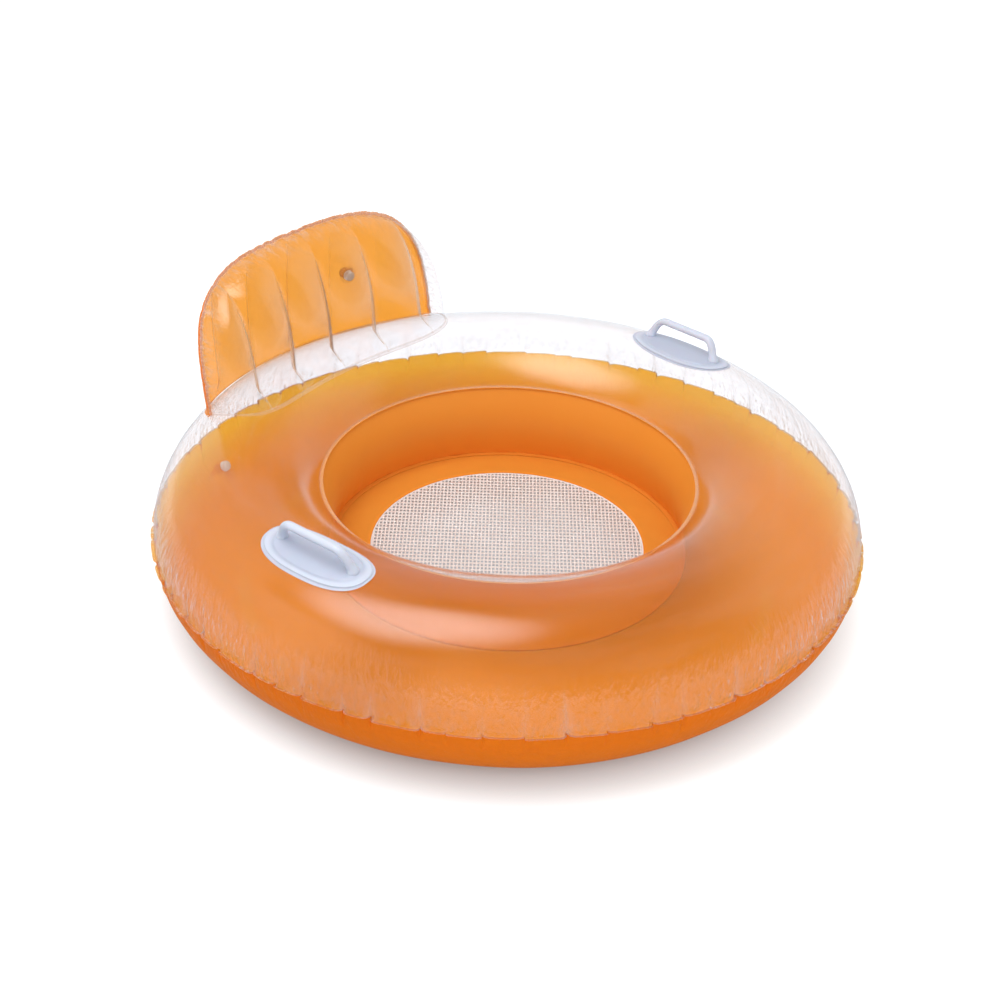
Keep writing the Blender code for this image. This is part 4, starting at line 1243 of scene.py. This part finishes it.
def gripMesh(side, lift):
    # two legs that lean in and a bar, a round section that spreads at its feet
    centre, along, out = handleFrame(side)
    footPlace = centre + along * handle["feet"] / 2
    top, footTop = (
        float(ringTop(place[0], place[1])) + lift + handle["baseThickness"] for place in (centre, footPlace)
    )
    corner = np.array([handle["bar"] / 2 + (handle["feet"] - handle["bar"]) / 4, top + handle["rise"]])
    ankle = np.array([handle["feet"] / 2, footTop + 0.0012])
    bendEnd = np.array([handle["bar"] / 2, corner[1]])
    start = ankle + (corner - ankle) * handle["legShare"]
    half = [np.array([handle["feet"] / 2, footTop - 0.0024]), ankle]
    half += [ankle + (start - ankle) * share for share in (0.25, 0.5, 0.75)]
    half += bend(start, corner, bendEnd, np.linspace(0, 1, 14))
    half += [bendEnd * [1 - share, 1] for share in (0.25, 0.5, 0.75)]
    path = np.array(half + [np.array([0.0, corner[1]])] + [point * [-1, 1] for point in reversed(half)])
    lean = handle["lean"] * np.clip(path[:, 1] - ankle[1], 0, None) / (corner[1] - ankle[1])
    line = centre + path[:, :1] * along + lean[:, None] * out
    line[:, 2] = path[:, 1]
    run = unit(np.gradient(line, axis=0))
    sideways = np.tile(out, (len(line), 1))
    sideways = unit(sideways - (sideways * run).sum(1, keepdims=True) * run)
    upward = np.cross(run, sideways)
    above = np.clip(line[:, 2] - footTop, 0, None)
    thick = handle["thickness"] / 2 * (1 + handle["footSpread"] * np.exp(-above / 0.0035))
    wide = 1.0 + 0.10 * ease(0.010, 0.024, above)
    turn = np.linspace(0, 2 * math.pi, 28, endpoint=False)[None, :, None]
    points = line[:, None] + sideways[:, None] * np.cos(turn) * (thick * wide)[:, None, None]
    points = points + upward[:, None] * np.sin(turn) * (thick / wide)[:, None, None]
    return cappedTube("grip", points, 60.0)


def buildHandle(side):
    name = "left" if side > 0 else "right"
    film, gap = ring["film"], ring["gap"]
    margin = handle["patchMargin"]
    mesh = ovalPlate(name + "HandlePatch", side, margin, rest["seatGap"] * 0.6, lambda shares: shares * 0 + film)
    patch = newPiece(name + "HandlePatch", mesh, patchWhite, [name + "_handle_patch"])
    lift = rest["seatGap"] + film + gap
    piece = newPiece(name + "Handle", ovalPlate(name + "HandleBase", side, 0.0, lift, baseThickness), handleBlue, [])
    finished = combined(piece, "UNION", gripMesh(side, lift))
    centre, along, out = handleFrame(side)
    spots = pointsOf(finished) - centre
    power = handle["ovalPower"]
    a, b = np.abs(spots @ along / (handle["length"] / 2)), np.abs(spots @ out / (handle["width"] / 2))
    share = (a ** power + b ** power) ** (1 / power)
    low = spots[:, 2] + centre[2] < ringTop(spots[:, 0] + centre[0], spots[:, 1] + centre[1]) + lift + 0.004
    mark = finished.attributes.new("edge", "FLOAT", "POINT")
    mark.data.foreach_set("value", np.where(low, 0.75 * ease(0.84, 0.93, share), 1.0).astype(np.float32))
    finished.shade_smooth()
    finished.set_sharp_from_angle(angle=math.radians(45))
    finished.materials.clear()
    finished.materials.append(handleBlue)
    piece.data = finished
    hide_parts(name + "_handle")


for handleSide in (1, -1):
    buildHandle(handleSide)
print("handles made")


# Air valves, turned about their own axis, with the film's outer side at height 0

valve = {
    "flangeRadius": 0.015,
    "flangeThickness": 0.0012,
    "sleeveWall": 0.0010,
    "sleeveDepth": 0.007,
    "stemRadius": 0.0070,
    "stemBore": 0.0042,
    "stemOut": 0.0135,
    "stemIn": 0.0090,
    "lipRadius": 0.0090,
    "lipThickness": 0.0015,
    "plugRadius": 0.0080,
    "plugThickness": 0.0022,
    "shankLength": 0.0083,
    "flapRadius": 0.0058,
    "flapThickness": 0.0006,
    "strapWidth": 0.005,
    "strapThickness": 0.0010,
    "strapRun": 0.0055,
    "strapBend": 0.0032,
    "round": 0.00035,          # rounding of the moulded edges
    "steps": 64,
    "ringTurn": 16.5,          # place on the ring, in facets of the bottom sheet's solid
    "ringFacets": 56,
    "restSpot": (0.135, 0.085),        # place on the backrest, across and up
    "restChannel": (0.006, 0.014),     # depth and width of the channels in the back sheet's solid
    "flatReach": (0.017, 0.050),       # the film lies flat round the valve, and where it is free again
}


def ringValveFrame():
    # the middle of one facet of the bottom sheet's solid
    step = math.pi / valve["ringFacets"]
    angle, squeeze = valve["ringTurn"] * 2 * step, math.cos(step)
    first, last = -math.asin(filmLift / ring["bellyDrop"]), -math.acos(ring["restHalf"] / ring["outerHalf"])
    upper, lower = (np.array(tubePoint(np.array(first + (last - first) * share))) for share in (1 / 4, 2 / 4))
    around = Vector((math.cos(angle), math.sin(angle), 0.0))
    radius, height = (upper + lower) / 2
    place = around * float(radius * squeeze) + Vector((0.0, 0.0, float(height)))
    slope = Vector((float(upper[0] - lower[0]) * squeeze, float(upper[1] - lower[1]))).normalized()
    outward = around * slope.y - Vector((0.0, 0.0, slope.x))
    return place, outward, Vector((-around.y, around.x, 0.0))


def backValveFrame():
    depth, width = valve["restChannel"]

    def spot(moveS, moveT):
        # the back of the pillow as its solid has it
        s, t = (np.array(place + move) for place, move in zip(valve["restSpot"], (moveS, moveT)))
        drawn = sum(math.exp(-((float(s) - place) / width) ** 2) for place in ribPlaces)
        drawn *= float(np.clip(t / 0.022, 0, 1))
        return Vector(pillowPlace(s, t, 1, rest["backDepth"], depth * drawn))
    step = 0.014
    across, up = spot(step, 0.0) - spot(-step, 0.0), spot(0.0, step) - spot(0.0, -step)
    return spot(0.0, 0.0), up.cross(across).normalized(), across.normalized()


def roundedProfile(profile, closed, size):
    # each corner of the profile becomes a small bend, apart from points on the axis
    made = []
    for i, corner in enumerate(profile):
        corner = np.array(corner)
        if corner[0] == 0.0 or (not closed and i in (0, len(profile) - 1)):
            made.append(corner)
            continue
        runs = [np.array(profile[j % len(profile)]) - corner for j in (i - 1, i + 1)]
        reach = min([size] + [np.linalg.norm(run) * 0.45 for run in runs])
        start, end = (corner + run / np.linalg.norm(run) * reach for run in runs)
        made += bend(start, corner, end, (0.0, 0.33, 0.67, 1.0))
    return made


def turnedMesh(name, profile, closed, place, milky=0.0):
    # turns the profile about Z and closes it on the axis. Inside the milky radius it shows as a weld
    made = bmesh.new()
    rings = []
    for radius, height in roundedProfile(profile, closed, valve["round"]):
        turns = [2 * math.pi * i / valve["steps"] for i in range(valve["steps"] if radius else 1)]
        rings.append([made.verts.new((radius * math.cos(turn), radius * math.sin(turn), height)) for turn in turns])
    for low, high in list(zip(rings, rings[1:])) + ([(rings[-1], rings[0])] if closed else []):
        for i in range(valve["steps"]):
            j = (i + 1) % valve["steps"]
            corners = [low[i % len(low)], low[j % len(low)], high[j % len(high)], high[i % len(high)]]
            unique = list(dict.fromkeys(corners))
            if len(unique) > 2:
                made.faces.new(unique)
    bmesh.ops.recalc_face_normals(made, faces=made.faces)
    mesh = bpy.data.meshes.new(name)
    made.to_mesh(mesh)
    made.free()
    if milky:
        mark = mesh.attributes.new("weld", "FLOAT", "POINT")
        mark.data.foreach_set("value", [float(math.hypot(*vertex.co[:2]) < milky) for vertex in mesh.vertices])
    mesh.transform(place)
    mesh.shade_smooth()
    mesh.set_sharp_from_angle(angle=math.radians(50))
    return mesh


def strapMesh(name, plugHeight):
    # from the stem's lip out, round and over to the plug's edge
    root = valve["stemOut"] - valve["lipThickness"] / 2
    turnAt = np.array([valve["lipRadius"] + 0.0003 + valve["strapRun"], root + valve["strapBend"]])
    path = [np.array([valve["lipRadius"] - 0.0006, root]), np.array([valve["lipRadius"] + 0.0003, root])]
    for turn in np.linspace(-math.pi / 2, math.pi / 2, 15):
        path.append(turnAt + np.array([math.cos(turn), math.sin(turn)]) * valve["strapBend"])
    plugEdge = np.array([valve["plugRadius"] - 0.0006, plugHeight])
    corner = np.array([(path[-1][0] + plugEdge[0]) / 2, path[-1][1]])
    path += bend(path[-1], corner, plugEdge, np.linspace(0, 1, 10)[1:])
    path = np.array(path)
    padded = np.concatenate([path[:1], path, path[-1:]])
    run = unit(padded[2:] - padded[:-2])
    turn = np.linspace(0, 2 * math.pi, 16, endpoint=False)
    thick = valve["strapThickness"] / 2 * np.sign(np.sin(turn)) * np.abs(np.sin(turn)) ** 0.7
    wide = valve["strapWidth"] / 2 * np.sign(np.cos(turn)) * np.abs(np.cos(turn)) ** 0.45
    x = path[:, :1] - run[:, 1:] * thick
    z = path[:, 1:] + run[:, :1] * thick
    return cappedTube(name, np.stack([x, np.zeros_like(x) + wide, z], -1), 50.0)


def buildValve(name, cadName, place, outward, sideways):
    placed = Matrix.Translation(place) @ Matrix((sideways, outward.cross(sideways), outward)).transposed().to_4x4()
    gap, flange, bore, lip = ring["gap"], valve["flangeRadius"], valve["stemBore"], valve["lipRadius"]
    stemR, plugR = valve["stemRadius"], valve["plugRadius"]
    flangeTop = gap + valve["flangeThickness"]
    sleeveIn = stemR + gap
    sleeveOut = sleeveIn + valve["sleeveWall"]
    stemOut, stemIn, deep = valve["stemOut"], -valve["stemIn"], -valve["sleeveDepth"]
    lipLow = stemOut - valve["lipThickness"]
    shank = bore - gap
    plugLow = stemOut + gap
    plugTop, shankEnd = plugLow + valve["plugThickness"], plugLow - valve["shankLength"]
    flapTop = stemIn - gap
    flapLow = flapTop - valve["flapThickness"]
    profiles = {                               # and whether the profile closes on itself
        "Base": ([
            (flange, flangeTop * 0.75), (flange, gap), (sleeveOut, gap), (sleeveOut, deep), (sleeveIn, deep),
            (sleeveIn, flangeTop), (sleeveOut + 0.0016, flangeTop), (flange - 0.0026, flangeTop * 0.82),
        ], True),
        "Stem": ([
            (lip, stemOut), (lip, lipLow), (stemR, lipLow), (stemR, stemIn), (bore, stemIn), (bore, stemOut),
        ], True),
        "Plug": ([
            (0.0, plugTop), (plugR * 0.62, plugTop), (plugR, plugTop - 0.0005), (plugR, plugLow),
            (shank, plugLow), (shank, shankEnd), (0.0, shankEnd),
        ], False),
        "Flap": ([
            (0.0, flapTop), (valve["flapRadius"], flapTop), (valve["flapRadius"], flapLow), (0.0, flapLow),
        ], False),
    }
    for part, (profile, closed) in profiles.items():
        isBase = part == "Base"
        mesh = turnedMesh(name + part, profile, closed, placed, sleeveOut + 0.0002 if isBase else 0.0)
        body = "hull" if isBase else cadName + "_" + part.lower()
        piece = newPiece(name + part, mesh, valveClear if isBase else valveMilk, [cadName + "_" + part.lower()], body)
    plugHeight = plugLow + valve["plugThickness"] / 2
    mesh = strapMesh(name + "Strap", plugHeight)
    mesh.transform(placed)
    strap = newPiece(name + "Strap", mesh, valveMilk, [cadName + "_strap"], None)
    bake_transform(strap)
    return placed, sleeveOut + gap


def seatValve(sheet, placed, holeRadius):
    # lays the film flat round the valve and cuts its hole
    mesh = sheet.data
    spots = pointsOf(mesh)
    turn, middle = np.array(placed.to_3x3()), np.array(placed.translation)
    local = (spots - middle) @ turn
    away = np.hypot(local[:, 0], local[:, 1])
    near = (away < 0.055) & (np.abs(local[:, 2]) < 0.02)
    flat = np.where(np.arange(len(spots)) < len(spots) // 2, 0.0, -ring["film"])
    local[:, 2] += (flat - local[:, 2]) * (1 - ease(*valve["flatReach"], away)) * near
    spots = local @ turn.T + middle
    mesh.vertices.foreach_set("co", spots.ravel())
    mesh.update()
    made = bmesh.new()
    bmesh.ops.create_cone(made, cap_ends=True, segments=64, radius1=holeRadius, radius2=holeRadius, depth=0.008)
    hole = bpy.data.meshes.new("hole")
    made.to_mesh(hole)
    made.free()
    hole.transform(placed)
    sheet.data = combined(sheet, "DIFFERENCE", hole)


seatValve(ringBottomPiece, *buildValve("ringValve", "ring_valve", *ringValveFrame()))
seatValve(backSheet, *buildValve("backrestValve", "backrest_valve", *backValveFrame()))
print("valves made")
